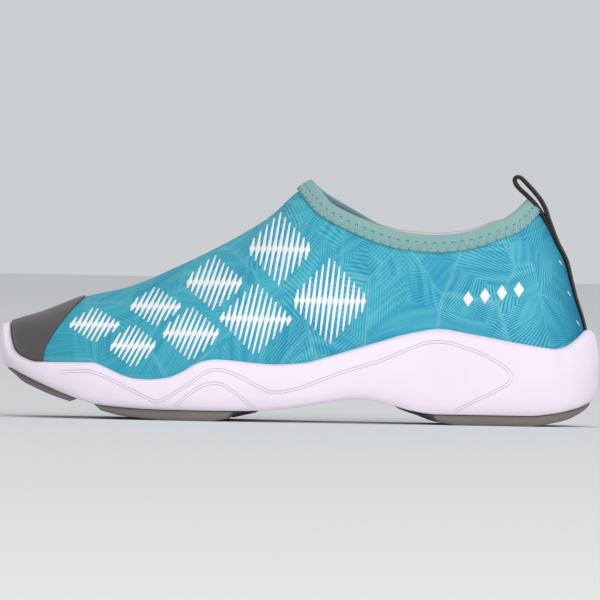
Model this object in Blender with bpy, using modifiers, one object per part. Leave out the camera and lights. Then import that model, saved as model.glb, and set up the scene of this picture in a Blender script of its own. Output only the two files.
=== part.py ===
"""Left slip-on water shoe: a stretch upper over a wrapped foam midsole with rubber pads.

Metres, +Z up. The toe points along -X, the lateral side faces -Y, and the shoe stands on Z = 0.
"""

import math

import bmesh
import bpy
import numpy as np
from mathutils import Matrix, Vector

# Lengths along the shoe
SOLE_LENGTH = 0.266
TOE_ROUND = 0.044
HEEL_ROUND = 0.033

# Widths of the last, without the foam wall around it
BALL_WIDTH = 0.090
HEEL_WIDTH = 0.062
RIDGE_SWING = 0.004

# Heights above the floor
INSTEP_HEIGHT = 0.1065
HEEL_HEIGHT = 0.0995
ANKLE_HEIGHT = 0.0829
MEDIAL_LIFT = 0.0009
HEEL_STACK = 0.022
TOE_SPRING = 0.0176
ARCH_RISE = 0.0062
HEEL_BEVEL = 0.0148
SIDEWALL_HEIGHT = 0.0426
TOE_BUMPER_RISE = 0.0175
HEEL_TAB_RISE = 0.0120

# Thicknesses
UPPER_WALL = 0.0020
SIDE_WALL = 0.0054
OUTSOLE_THICKNESS = 0.0047
INSOLE_THICKNESS = 0.0035
TOE_CAP_THICKNESS = 0.0008
BINDING_THICKNESS = 0.0010
TAPE_THICKNESS = 0.0014

# Trim sizes
BINDING_WIDTH = 0.0068
TAPE_WIDTH = 0.0120
LOOP_RISE = 0.0125
LOOP_LEAN = 0.0075
PAD_INSET = 0.0007
PAD_DRAFT = 0.0007
PAD_CHAMFER = 0.0030
TREAD_WIDTH = 0.0022
TREAD_DEPTH = 0.0016
TREAD_MARGIN = 0.012

# Clearances
FIT = 0.0003
CUP_FIT = 0.00035
CAP_SETBACK = 0.0007
CAP_FRONT = 0.0011
INSOLE_FIT = 0.0004
INSOLE_SIDE_FIT = 0.0009

# Powers of the toe's plan: 2 is an ellipse and more is blunter
TOE_BLUNTNESS = 2.5

# Columns of points around the shoe, and rows from the feather line to the collar
AROUND = 88
UPPER_ROWS = 13


class Sections:
    """A table with a row for each section along the shoe and a name for each column."""

    def __init__(self, columns, rows):
        self.columns = columns
        self.rows = np.array(rows, float)

    def line(self, column, along="at"):
        """A smooth curve through one column that never overshoots its values."""
        knots = self.rows[:, self.columns.index(along)]
        values = self.rows[:, self.columns.index(column)]
        steps = np.diff(knots)
        slopes = np.diff(values) / steps
        tangents = np.zeros(len(knots))
        tangents[0], tangents[-1] = slopes[0], slopes[-1]
        for i in range(1, len(steps)):
            if slopes[i - 1] * slopes[i] > 0:
                before = 2 * steps[i] + steps[i - 1]
                after = steps[i] + 2 * steps[i - 1]
                tangents[i] = (before + after) / (before / slopes[i - 1] + after / slopes[i])

        def at(place):
            place = min(max(place, knots[0]), knots[-1])
            i = min(int(np.searchsorted(knots, place, side="right")) - 1, len(steps) - 1)
            t = (place - knots[i]) / steps[i]
            return float(
                (1 + 2 * t) * (1 - t) ** 2 * values[i]
                + t * (1 - t) ** 2 * steps[i] * tangents[i]
                + t * t * (3 - 2 * t) * values[i + 1]
                + t * t * (t - 1) * steps[i] * tangents[i + 1]
            )

        return at


# The last from above: the centre line's swing and the half widths to each side, as shares of the
# half width there. Then the foam wall's reach as a share of SIDE_WALL, and how far its foot tucks
# under. "at" is always a share of SOLE_LENGTH from the toe.
PLAN = Sections(
    ("at", "centre", "lateral", "medial", "wall", "tuck"),
    [
        (0.0145, 0.110, 0.845, 0.800, 0.80, 0.38),
        (0.0500, 0.100, 0.842, 0.800, 0.84, 0.25),
        (0.1000, 0.075, 0.851, 0.855, 0.92, 0.10),
        (0.1500, 0.040, 0.884, 0.871, 0.98, 0.00),
        (0.2000, 0.013, 0.935, 0.911, 1.00, 0.00),
        (0.2500, 0.000, 0.989, 0.944, 1.00, 0.00),
        (0.3000, 0.000, 1.033, 0.944, 1.00, 0.00),
        (0.3500, 0.000, 1.055, 0.911, 1.00, 0.00),
        (0.4500, 0.000, 1.063, 0.813, 1.00, 0.00),
        (0.5500, 0.000, 1.060, 0.789, 1.00, 0.00),
        (0.6500, 0.000, 1.070, 0.858, 1.00, 0.00),
        (0.7500, 0.000, 1.048, 0.945, 1.00, 0.00),
        (0.8600, 0.000, 1.000, 0.970, 0.98, 0.00),
        (0.9800, 0.000, 1.000, 0.970, 0.93, 0.00),
    ],
)

# The footbed inside the foam cup, in shares of HEEL_STACK and TOE_SPRING
FOOTBED = Sections(
    ("at", "stack", "spring"),
    [
        (0.0145, 0.62, 0.70),
        (0.0500, 0.61, 0.50),
        (0.1000, 0.60, 0.28),
        (0.1500, 0.59, 0.13),
        (0.2000, 0.57, 0.05),
        (0.2700, 0.56, 0.00),
        (0.3500, 0.57, 0.00),
        (0.4500, 0.64, 0.00),
        (0.5500, 0.77, 0.00),
        (0.6500, 0.91, 0.00),
        (0.7500, 0.99, 0.00),
        (0.8500, 1.00, 0.00),
        (0.9900, 1.04, 0.00),
    ],
)

# The foam's underside above the rubber's thickness, and the rubber's own thickness
UNDERSIDE = Sections(
    ("at", "spring", "arch", "bevel", "rubber"),
    [
        (0.000, 1.000, 0.00, 0.00, 0.72),
        (0.024, 0.950, 0.00, 0.00, 0.78),
        (0.045, 0.800, 0.00, 0.00, 0.82),
        (0.085, 0.520, 0.00, 0.00, 0.73),
        (0.125, 0.270, 0.00, 0.00, 0.52),
        (0.145, 0.170, 0.00, 0.00, 0.47),
        (0.165, 0.100, 0.00, 0.00, 0.50),
        (0.205, 0.042, 0.00, 0.00, 0.80),
        (0.250, 0.010, 0.00, 0.00, 0.92),
        (0.285, 0.000, 0.00, 0.00, 1.00),
        (0.350, 0.000, 0.00, 0.00, 1.00),
        (0.387, 0.000, 0.01, 0.00, 0.71),
        (0.427, 0.000, 0.05, 0.00, 0.45),
        (0.465, 0.000, 0.17, 0.00, 0.35),
        (0.507, 0.000, 0.42, 0.00, 0.35),
        (0.547, 0.000, 0.74, 0.00, 0.35),
        (0.600, 0.000, 1.00, 0.00, 0.35),
        (0.647, 0.000, 0.68, 0.00, 0.28),
        (0.688, 0.000, 0.22, 0.00, 0.36),
        (0.728, 0.000, 0.00, 0.00, 0.72),
        (0.770, 0.000, 0.00, 0.00, 1.00),
        (0.880, 0.000, 0.00, 0.00, 1.00),
        (0.928, 0.000, 0.00, 0.09, 0.88),
        (0.948, 0.000, 0.00, 0.17, 0.82),
        (0.968, 0.000, 0.00, 0.31, 0.69),
        (0.988, 0.000, 0.00, 0.58, 0.58),
        (1.000, 0.000, 0.00, 1.00, 0.40),
    ],
)

# The foam wall's wavy top edge, in shares of SIDEWALL_HEIGHT, TOE_BUMPER_RISE and HEEL_TAB_RISE
RIM = Sections(
    ("at", "wall", "bumper", "tab"),
    [
        (0.0145, 0.585, 1.00, 0.00),
        (0.0158, 0.585, 0.92, 0.00),
        (0.0180, 0.585, 0.70, 0.00),
        (0.0215, 0.585, 0.45, 0.00),
        (0.0260, 0.585, 0.28, 0.00),
        (0.0400, 0.585, 0.10, 0.00),
        (0.0650, 0.580, 0.00, 0.00),
        (0.1560, 0.585, 0.00, 0.00),
        (0.1814, 0.530, 0.00, 0.00),
        (0.2050, 0.465, 0.00, 0.00),
        (0.2252, 0.432, 0.00, 0.00),
        (0.2486, 0.423, 0.00, 0.00),
        (0.2820, 0.448, 0.00, 0.00),
        (0.3052, 0.510, 0.00, 0.00),
        (0.3317, 0.606, 0.00, 0.00),
        (0.3600, 0.643, 0.00, 0.00),
        (0.4571, 0.603, 0.00, 0.00),
        (0.5056, 0.624, 0.00, 0.00),
        (0.5455, 0.692, 0.00, 0.00),
        (0.6253, 0.847, 0.00, 0.00),
        (0.6852, 0.955, 0.00, 0.00),
        (0.7300, 1.000, 0.00, 0.00),
        (0.7855, 0.951, 0.00, 0.00),
        (0.8661, 0.862, 0.00, 0.00),
        (0.9180, 0.812, 0.00, 0.00),
        (0.9340, 0.800, 0.00, 0.08),
        (0.9550, 0.790, 0.00, 0.40),
        (0.9740, 0.740, 0.00, 0.98),
    ],
)

# The foam wall's side from the underside up to the rim, as shares of its height and of its reach
WALL_SIDE = (
    ("rise", "reach"),
    [
        (0.00, 0.42),
        (0.08, 0.72),
        (0.27, 0.95),
        (0.50, 1.00),
        (0.74, 0.93),
        (0.92, 0.76),
        (1.00, 0.54),
    ],
)

# The top line over toe and instep, then the line that the ankle would follow above the collar.
# "dome" is how boxy a cross-section is: 2 is an ellipse.
RIDGE = Sections(
    ("at", "rise", "dome"),
    [
        (0.0145, 0.391, 5.50),
        (0.0330, 0.407, 4.60),
        (0.0620, 0.429, 3.60),
        (0.1025, 0.469, 2.80),
        (0.1275, 0.495, 2.50),
        (0.1620, 0.519, 2.25),
        (0.2020, 0.542, 2.10),
        (0.2420, 0.578, 2.05),
        (0.2820, 0.625, 2.05),
        (0.3220, 0.673, 2.05),
        (0.3620, 0.725, 2.05),
        (0.4010, 0.780, 2.05),
        (0.4410, 0.845, 2.05),
        (0.4610, 0.888, 2.05),
        (0.4800, 0.936, 2.05),
        (0.5133, 1.000, 2.05),
        (0.5600, 1.090, 2.05),
        (0.6200, 1.170, 2.05),
        (0.7000, 1.220, 2.05),
        (1.0000, 1.230, 2.05),
    ],
)

# The heel's back line, by share of HEEL_HEIGHT
HEEL_BACK = Sections(
    ("height", "at"),
    [
        (0.23, 0.9800),
        (0.29, 0.9808),
        (0.36, 0.9790),
        (0.44, 0.9743),
        (0.57, 0.9590),
        (0.66, 0.9490),
        (0.74, 0.9400),
        (0.81, 0.9262),
        (0.88, 0.9125),
        (0.95, 0.8900),
        (1.00, 0.8770),
    ],
)

# The collar's edge, from its lowest point up to the instep in front and up to the heel behind
COLLAR = Sections(
    ("at", "rise"),
    [
        (0.5133, 1.00),
        (0.5458, 0.58),
        (0.5716, 0.415),
        (0.5974, 0.290),
        (0.6318, 0.145),
        (0.6640, 0.050),
        (0.7205, 0.000),
        (0.7607, 0.057),
        (0.7913, 0.176),
        (0.8181, 0.346),
        (0.8408, 0.470),
        (0.8600, 0.705),
        (0.8770, 1.000),
    ],
)

# The cap's back edge on each flank, from the rim up to the ridge
TOE_CAP_EDGE = Sections(
    ("climb", "at"),
    [
        (0.00, 0.0725),
        (0.20, 0.0745),
        (0.45, 0.0850),
        (0.65, 0.0990),
        (0.82, 0.1150),
        (1.00, 0.1400),
    ],
)

# Where each rubber pad starts and ends, on the lateral and medial edge, and its tread cuts
PADS = {
    "outsole_toe": {"start": (0.0, 0.0), "end": (0.130, 0.122), "cuts": (0.055, 0.085)},
    "outsole_forefoot": {
        "start": (0.160, 0.150),
        "end": (0.390, 0.438),
        "cuts": (0.20, 0.24, 0.275, 0.36, 0.385),
    },
    "outsole_heel": {
        "start": (0.722, 0.655),
        "end": (1.0, 1.0),
        "cuts": (0.745, 0.885, 0.92),
    },
}

# The pull loop in side view, from the binding up to its tip: the front and back edge of each row,
# then the outline of its hole. Both in shares of LOOP_LEAN and LOOP_RISE from the collar's top.
LOOP = (
    ((0.80, -0.36), (1.10, -0.34)),
    ((0.52, -0.12), (0.92, 0.02)),
    ((-0.02, 0.26), (0.42, 0.50)),
    ((-0.58, 0.58), (-0.12, 0.80)),
    ((-1.00, 0.80), (-0.62, 0.97)),
    ((-1.12, 0.92), (-0.92, 1.02)),
)
LOOP_HOLE = (
    (0.62, -0.03),
    (0.14, 0.31),
    (-0.42, 0.62),
    (-0.84, 0.83),
    (-0.66, 0.87),
    (-0.22, 0.72),
    (0.30, 0.43),
)

TOE_AT = float(PLAN.rows[0, 0])
THROAT_AT = float(COLLAR.rows[0, 0])
COLLAR_LOW_AT = float(COLLAR.rows[int(np.argmin(COLLAR.rows[:, 1])), 0])
LATERAL, MEDIAL = -1, 1

plan_centre = PLAN.line("centre")
plan_side = {LATERAL: PLAN.line("lateral"), MEDIAL: PLAN.line("medial")}
plan_wall = PLAN.line("wall")
plan_tuck = PLAN.line("tuck")
footbed_stack = FOOTBED.line("stack")
footbed_spring = FOOTBED.line("spring")
under_spring = UNDERSIDE.line("spring")
under_arch = UNDERSIDE.line("arch")
under_bevel = UNDERSIDE.line("bevel")
under_rubber = UNDERSIDE.line("rubber")
rim_wall = RIM.line("wall")
rim_bumper = RIM.line("bumper")
rim_tab = RIM.line("tab")
ridge_rise = RIDGE.line("rise")
ridge_dome = RIDGE.line("dome")
heel_back_at = HEEL_BACK.line("at", along="height")
collar_rise = COLLAR.line("rise")
cap_edge_at = TOE_CAP_EDGE.line("at", along="climb")


def clamp(value, low=0.0, high=1.0):
    return min(max(value, low), high)


def mix(a, b, share):
    return a + (b - a) * share


def ease(value):
    value = clamp(value)
    return value * value * (3 - 2 * value)


def share_of(x):
    """Where an x lies along the shoe, as a share of its length from the toe."""
    return x / SOLE_LENGTH + 0.5


def x_of(at):
    return (at - 0.5) * SOLE_LENGTH


def footbed(at):
    return HEEL_STACK * footbed_stack(at) + TOE_SPRING * footbed_spring(at)


def feather(at):
    """The height of the upper's lower edge, just above the footbed."""
    return footbed(at) + FIT


def underside(at):
    return (
        OUTSOLE_THICKNESS
        + TOE_SPRING * under_spring(at)
        + ARCH_RISE * under_arch(at)
        + HEEL_BEVEL * under_bevel(at)
    )


def rim(at):
    return (
        SIDEWALL_HEIGHT * rim_wall(at)
        + TOE_BUMPER_RISE * rim_bumper(at)
        + HEEL_TAB_RISE * rim_tab(at)
    )


def roof(at):
    return INSTEP_HEIGHT * ridge_rise(at)


def heel_back(height):
    return heel_back_at(height / HEEL_HEIGHT)


def collar(at, side):
    """The collar edge's height: it climbs to the instep in front and to the heel behind."""
    top = INSTEP_HEIGHT if at < COLLAR_LOW_AT else HEEL_HEIGHT
    along = (at - THROAT_AT) / (heel_back(HEEL_HEIGHT) - THROAT_AT)
    lift = MEDIAL_LIFT * math.sin(math.pi * clamp(along)) ** 0.8 if side == MEDIAL else 0.0
    return ANKLE_HEIGHT + (top - ANKLE_HEIGHT) * collar_rise(at) + lift


def last_half_width(at):
    return mix(BALL_WIDTH, HEEL_WIDTH, ease((at - 0.35) / 0.40)) / 2


def skin_y(at, height, side):
    """How far out the last's skin is: each section is a dome, rounded in plan at toe and heel."""
    floor = feather(at)
    climb = clamp((height - floor) / (roof(at) - floor))
    dome = math.sqrt(1 - climb ** ridge_dome(at))
    back = heel_back(height)
    behind = clamp((at - back) * SOLE_LENGTH / HEEL_ROUND + 1)
    ahead = clamp((at - TOE_AT) * SOLE_LENGTH / TOE_ROUND)
    rounding = math.sqrt(1 - behind**2) * math.sqrt(1 - (1 - ahead) ** TOE_BLUNTNESS)
    half = last_half_width(at)
    swing = RIDGE_SWING * climb**1.5 * ease((at - 0.05) / 0.25) * ease((0.88 - at) / 0.40)
    return half * plan_centre(at) + swing + side * half * plan_side[side](at) * dome * rounding


def ridge_points():
    """The top line in side view, from the feather line up the toe's face and on to the throat."""
    ats = TOE_AT + (THROAT_AT - TOE_AT) * np.linspace(0, 1, 240) ** 1.5
    points = np.array([(TOE_AT, feather(TOE_AT))] + [(a, roof(a)) for a in ats])
    runs = np.hypot(np.diff(points[:, 0]) * SOLE_LENGTH, np.diff(points[:, 1]))
    return points, np.concatenate(([0.0], np.cumsum(runs)))


RIDGE_POINTS, RIDGE_RUN = ridge_points()


def on_ridge(v):
    run = v * RIDGE_RUN[-1]
    return np.array([np.interp(run, RIDGE_RUN, RIDGE_POINTS[:, k]) for k in (0, 1)])


def on_heel(v):
    height = mix(feather(heel_back(HEEL_STACK)), HEEL_HEIGHT, v)
    return np.array([heel_back(height), height])


def skin(theta, v):
    """A point of the last's skin. theta runs round from the toe (0) past the lateral side to the
    heel (pi) and back along the medial side; v climbs from the feather line (0) to the collar (1)."""
    side = LATERAL if theta % (2 * math.pi) < math.pi else MEDIAL
    s = (1 - math.cos(theta)) / 2
    toe, heel = on_ridge(0), on_heel(0)
    throat, back = on_ridge(1), on_heel(1)
    low_at = mix(toe[0], heel[0], s)
    high_at = mix(throat[0], back[0], s)
    low = np.array([low_at, feather(low_at)])
    high = np.array([high_at, collar(high_at, side)])
    corners = (1 - s) * (1 - v) * toe + s * (1 - v) * heel + (1 - s) * v * throat + s * v * back
    at, height = (1 - v) * low + v * high + (1 - s) * on_ridge(v) + s * on_heel(v) - corners
    on_seam = min(s, 1 - s) < 1e-9
    ys = [skin_y(at, height, each) for each in (LATERAL, MEDIAL) if on_seam or each == side]
    return Vector((x_of(at), sum(ys) / len(ys), height))


def skin_normal(theta, v):
    """The outward direction of the last's skin."""
    step, climb = 0.01, 0.01
    along = skin(theta + step, v) - skin(theta - step, v)
    up = skin(theta, min(v + climb, 1)) - skin(theta, max(v - climb, 0))
    return along.cross(up).normalized()


def climb_to(theta, height_at):
    """How far up its column the skin reaches a height that depends on the place along the shoe."""
    low, high = 0.0, 1.0
    for _ in range(30):
        middle = (low + high) / 2
        point = skin(theta, middle)
        if point.z < height_at(share_of(point.x)):
            low = middle
        else:
            high = middle
    return (low + high) / 2


def column_length(theta):
    points = [skin(theta, v) for v in np.linspace(0, 1, 30)]
    return sum((b - a).length for a, b in zip(points, points[1:]))


def material(name, colour, roughness):
    """A plain Principled finish; colour is sRGB hex."""
    channels = [int(colour[i : i + 2], 16) / 255 for i in (0, 2, 4)]
    linear = [c / 12.92 if c <= 0.04045 else ((c + 0.055) / 1.055) ** 2.4 for c in channels]
    made = bpy.data.materials.new(name)
    made.use_nodes = True
    shader = made.node_tree.nodes["Principled BSDF"]
    shader.inputs["Base Color"].default_value = (*linear, 1)
    shader.inputs["Roughness"].default_value = roughness
    made.diffuse_color = (*linear, 1)
    return made


def add_piece(name, bm, finish, group):
    """Closes the seams, points the faces outwards and links the piece."""
    bmesh.ops.remove_doubles(bm, verts=bm.verts, dist=0.00002)
    bmesh.ops.dissolve_degenerate(bm, edges=bm.edges, dist=0.00001)
    bmesh.ops.recalc_face_normals(bm, faces=bm.faces)
    mesh = bpy.data.meshes.new(name)
    bm.to_mesh(mesh)
    bm.free()
    mesh.materials.append(finish)
    mesh.shade_smooth()
    mesh.set_sharp_from_angle(angle=math.radians(35))
    piece = bpy.data.objects.new(name, mesh)
    group.objects.link(piece)
    return piece


def mapped_grid(columns, rows, place):
    """A grid of columns by rows quads whose points are moved to place(column, row)."""
    bm = bmesh.new()
    bmesh.ops.create_grid(bm, x_segments=columns, y_segments=rows, size=0.5)
    for vert in bm.verts:
        column = round((vert.co.x + 0.5) * columns)
        row = round((vert.co.y + 0.5) * rows)
        vert.co = place(column, row)
    return bm


def theta_of(column, columns=AROUND):
    return 2 * math.pi * (column % columns) / columns


def build_upper(finish, group):
    """The stretch upper: the last's skin from the feather line to the collar, with its wall inside."""
    bm = mapped_grid(AROUND, UPPER_ROWS, lambda i, j: skin(theta_of(i), j / UPPER_ROWS))
    piece = add_piece("upper", bm, finish, group)
    wall = piece.modifiers.new("wall", "SOLIDIFY")
    wall.thickness = UPPER_WALL
    wall.offset = -1
    return piece


def cup_point(theta, height):
    """The inner face of the foam cup at a height: the skin there plus the clearance."""
    at_floor = skin(theta, 0)
    v = 0.0 if height <= at_floor.z else climb_to(theta, lambda at: height)
    point = skin(theta, v) + skin_normal(theta, v) * CUP_FIT
    return Vector((point.x, point.y, height))


def wall_outward(theta):
    normal = skin_normal(theta, 0.02)
    return Vector((normal.x, normal.y, 0)).normalized()


def wall_side_point(theta, rise, reach):
    """A point of the foam wall's outer side, at a share of the height from underside to rim."""
    rim_v = climb_to(theta, rim)
    top = skin(theta, rim_v)
    bottom = underside(share_of(skin(theta, 0).x))
    height = mix(bottom, top.z, rise)
    base = cup_point(theta, height)
    at = share_of(base.x)
    tuck = 1 - plan_tuck(at) * (1 - rise) ** 2
    point = base + wall_outward(theta) * SIDE_WALL * plan_wall(at) * reach * tuck
    if rise == 0:
        point.z = underside(share_of(point.x))
    return point


def centre_point(theta, height_at):
    """A point of the middle line, the same for the columns of both sides."""
    at = mix(TOE_AT, heel_back(HEEL_STACK), (1 - math.cos(theta)) / 2)
    return Vector((x_of(at), last_half_width(at) * plan_centre(at), height_at(at)))


def midsole_profile(theta):
    """One half section of the midsole, from the middle of its underside round to its footbed."""
    side = [wall_side_point(theta, rise, reach) for rise, reach in WALL_SIDE[1]]
    rim_v = climb_to(theta, rim)
    inner = []
    for share in (1.0, 0.5):
        point = skin(theta, rim_v * share)
        inner.append(point + skin_normal(theta, rim_v * share) * CUP_FIT)
    foot = skin(theta, 0) + skin_normal(theta, 0) * CUP_FIT
    foot.z = footbed(share_of(foot.x))
    return [centre_point(theta, underside), *side, *inner, foot, centre_point(theta, footbed)]


def build_midsole(finish, group):
    """The foam midsole: one cup whose wall wraps the upper, with a toe bumper and a heel tab."""
    profiles = [midsole_profile(theta_of(i)) for i in range(AROUND)]
    rows = len(profiles[0]) - 1
    bm = mapped_grid(AROUND, rows, lambda i, j: profiles[i % AROUND][j])
    return add_piece("midsole", bm, finish, group), [profile[1] for profile in profiles]


def edge_lines(edge):
    """The underside's outline as y against the share along the shoe, for each side."""
    half = AROUND // 2
    lateral = edge[: half + 1]
    medial = [edge[i % AROUND] for i in range(AROUND, half - 1, -1)]
    lines = {"toe": share_of(lateral[0].x), "heel": share_of(lateral[-1].x)}
    for side, points in ((LATERAL, lateral), (MEDIAL, medial)):
        ats = [share_of(p.x) for p in points]
        ys = [p.y for p in points]
        lines[side] = lambda at, ats=ats, ys=ys: float(np.interp(at, ats, ys))
    return lines


def build_insole(finish, group):
    """The sockliner: it lies on the footbed inside the upper's lower edge."""
    columns = AROUND // 2

    def place(i, j):
        theta = theta_of(i % columns, columns)
        rise = INSOLE_FIT + (INSOLE_THICKNESS if j > 1 else 0)
        if j in (0, 3):
            return centre_point(theta, lambda at: footbed(at) + rise)
        v = climb_to(theta, lambda at: footbed(at) + rise)
        point = skin(theta, v) - skin_normal(theta, v) * (UPPER_WALL + INSOLE_SIDE_FIT)
        point.z = footbed(share_of(point.x)) + rise
        return point

    return add_piece("insole", mapped_grid(columns, 3, place), finish, group)


def build_toe_cap(finish, group):
    """The grey film over the toe: it lies on the upper from the bumper's rim to its own edge."""
    around, back = 18, 7

    def place(i, j):
        side = LATERAL if i * 2 <= around else MEDIAL
        climb = math.sin(math.pi / 2 * (1 - abs(2 * i / around - 1)))
        front = TOE_AT + CAP_FRONT / SOLE_LENGTH
        at = mix(front, cap_edge_at(climb), (j / back) ** 1.7)
        ledge = rim(max(at - CAP_SETBACK / SOLE_LENGTH, TOE_AT))
        height = mix(min(ledge, roof(at) - 2 * FIT) + FIT, roof(at), climb)
        point = Vector((x_of(at), skin_y(at, height, side), height))
        step = 0.004
        ahead = Vector((x_of(at + step), skin_y(at + step, height, side), height))
        lower = Vector((x_of(at), skin_y(at, height - step * SOLE_LENGTH, side), height - step * SOLE_LENGTH))
        normal = (ahead - point).cross(point - lower) * -side
        if climb > 0.999:
            slope = (roof(at + step) - roof(at)) / (step * SOLE_LENGTH)
            normal = Vector((-slope, 0, 1))
        return point + normal.normalized() * FIT

    bm = mapped_grid(around, back, place)
    piece = add_piece("toe_cap", bm, finish, group)
    film = piece.modifiers.new("film", "SOLIDIFY")
    film.thickness = TOE_CAP_THICKNESS
    film.offset = 1
    return piece


def collar_frame(theta):
    """The collar edge's point with its outward and upward directions."""
    edge = skin(theta, 1)
    along = (skin(theta + 0.01, 1) - skin(theta - 0.01, 1)).normalized()
    outward = skin_normal(theta, 0.99)
    upward = along.cross(outward).normalized()
    if upward.dot(edge - skin(theta, 0.97)) < 0:
        upward.negate()
    return edge, outward, upward


def binding_depth(theta, collar_line):
    """How far up its column the binding's lower edge lies."""
    low, high = 0.3, 1.0
    for _ in range(24):
        middle = (low + high) / 2
        point = np.array(skin(theta, middle))
        near = np.min(np.linalg.norm(collar_line - point, axis=1))
        if near > BINDING_WIDTH:
            low = middle
        else:
            high = middle
    return (low + high) / 2


def binding_section(theta, collar_line):
    """The binding's closed section: a band folded over the collar's edge."""
    near, far = FIT, FIT + BINDING_THICKNESS
    v = binding_depth(theta, collar_line)
    foot, foot_out = skin(theta, v), skin_normal(theta, v)
    edge, outward, upward = collar_frame(theta)
    return [
        foot + foot_out * near,
        foot + foot_out * far,
        edge + outward * far,
        edge + outward * (far * 0.4) + upward * far,
        edge - outward * (UPPER_WALL + far * 0.4) + upward * far,
        edge - outward * (UPPER_WALL + far),
        foot - foot_out * (UPPER_WALL + far),
        foot - foot_out * (UPPER_WALL + near),
        edge - outward * (UPPER_WALL + near) + upward * near,
        edge + outward * near + upward * near,
    ]


def build_binding(finish, group):
    """The collar binding, with its flap as deep inside as outside."""
    line = np.array([skin(theta, 1) for theta in np.linspace(0, 2 * math.pi, 400)])
    sections = [binding_section(theta_of(i), line) for i in range(AROUND)]
    rows = len(sections[0])
    bm = mapped_grid(AROUND, rows, lambda i, j: sections[i % AROUND][j % rows])
    return add_piece("collar_binding", bm, finish, group)


def tape_sections():
    """The heel tape in side view, from the rim up: its front and back edge in each row."""
    rows = []
    bottom = rim(heel_back(SIDEWALL_HEIGHT)) + TAPE_THICKNESS
    top = HEEL_HEIGHT - BINDING_WIDTH * 0.85
    for share in np.linspace(0, 1, 9):
        height = mix(bottom, top, share)
        slope = (heel_back(height + 0.001) - heel_back(height - 0.001)) * SOLE_LENGTH / 0.002
        out = math.hypot(1, slope)
        lift = FIT + (BINDING_THICKNESS + FIT) * ease((share - 0.78) / 0.17)
        thick = TAPE_THICKNESS * mix(0.4, 1.0, ease(share / 0.6))
        skin_x = x_of(heel_back(height))
        rows.append(((skin_x + lift * out, height), (skin_x + (lift + thick) * out, height)))
    collar_x = x_of(heel_back(HEEL_HEIGHT))
    for front, back in LOOP:
        rows.append(
            (
                (collar_x + front[0] * LOOP_LEAN, HEEL_HEIGHT + front[1] * LOOP_RISE),
                (collar_x + back[0] * LOOP_LEAN, HEEL_HEIGHT + back[1] * LOOP_RISE),
            )
        )
    return rows


def build_tape(finish, group, cutters):
    """The webbing tape up the heel, whose folded top makes the pull loop."""
    across = 4
    ring = 2 * (across + 1)
    rows = tape_sections()

    def place(i, j):
        j %= ring
        back = j > across
        y = ((ring - 1 - j if back else j) / across - 0.5) * TAPE_WIDTH
        x, z = rows[i][back]
        bend = HEEL_ROUND * (1 - math.sqrt(1 - (2 * y / HEEL_WIDTH) ** 2))
        return Vector((x - bend, y, z))

    bm = mapped_grid(len(rows) - 1, ring, place)
    bmesh.ops.remove_doubles(bm, verts=bm.verts, dist=0.00002)
    bmesh.ops.holes_fill(bm, edges=[e for e in bm.edges if e.is_boundary], sides=0)
    piece = add_piece("heel_tape", bm, finish, group)

    collar_x = x_of(heel_back(HEEL_HEIGHT))
    outline = [(collar_x + x * LOOP_LEAN, HEEL_HEIGHT + z * LOOP_RISE) for x, z in LOOP_HOLE]
    cut = bmesh.new()
    ring = [cut.verts.new((x, -TAPE_WIDTH, z)) for x, z in outline]
    face = cut.faces.new(ring)
    grown = bmesh.ops.extrude_face_region(cut, geom=[face])
    moved = [g for g in grown["geom"] if isinstance(g, bmesh.types.BMVert)]
    bmesh.ops.translate(cut, verts=moved, vec=(0, 2 * TAPE_WIDTH, 0))
    cutter = add_piece("loop_hole_cutter", cut, finish, cutters)
    cut_from(piece, cutter)
    return piece


def cut_from(piece, cutter):
    """Cuts the cutter's shape out of a piece and keeps the cutter out of sight."""
    cutter.hide_render = True
    cutter.display_type = "WIRE"
    cut = piece.modifiers.new(cutter.name, "BOOLEAN")
    cut.operation = "DIFFERENCE"
    cut.solver = "EXACT"
    cut.object = cutter


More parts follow.
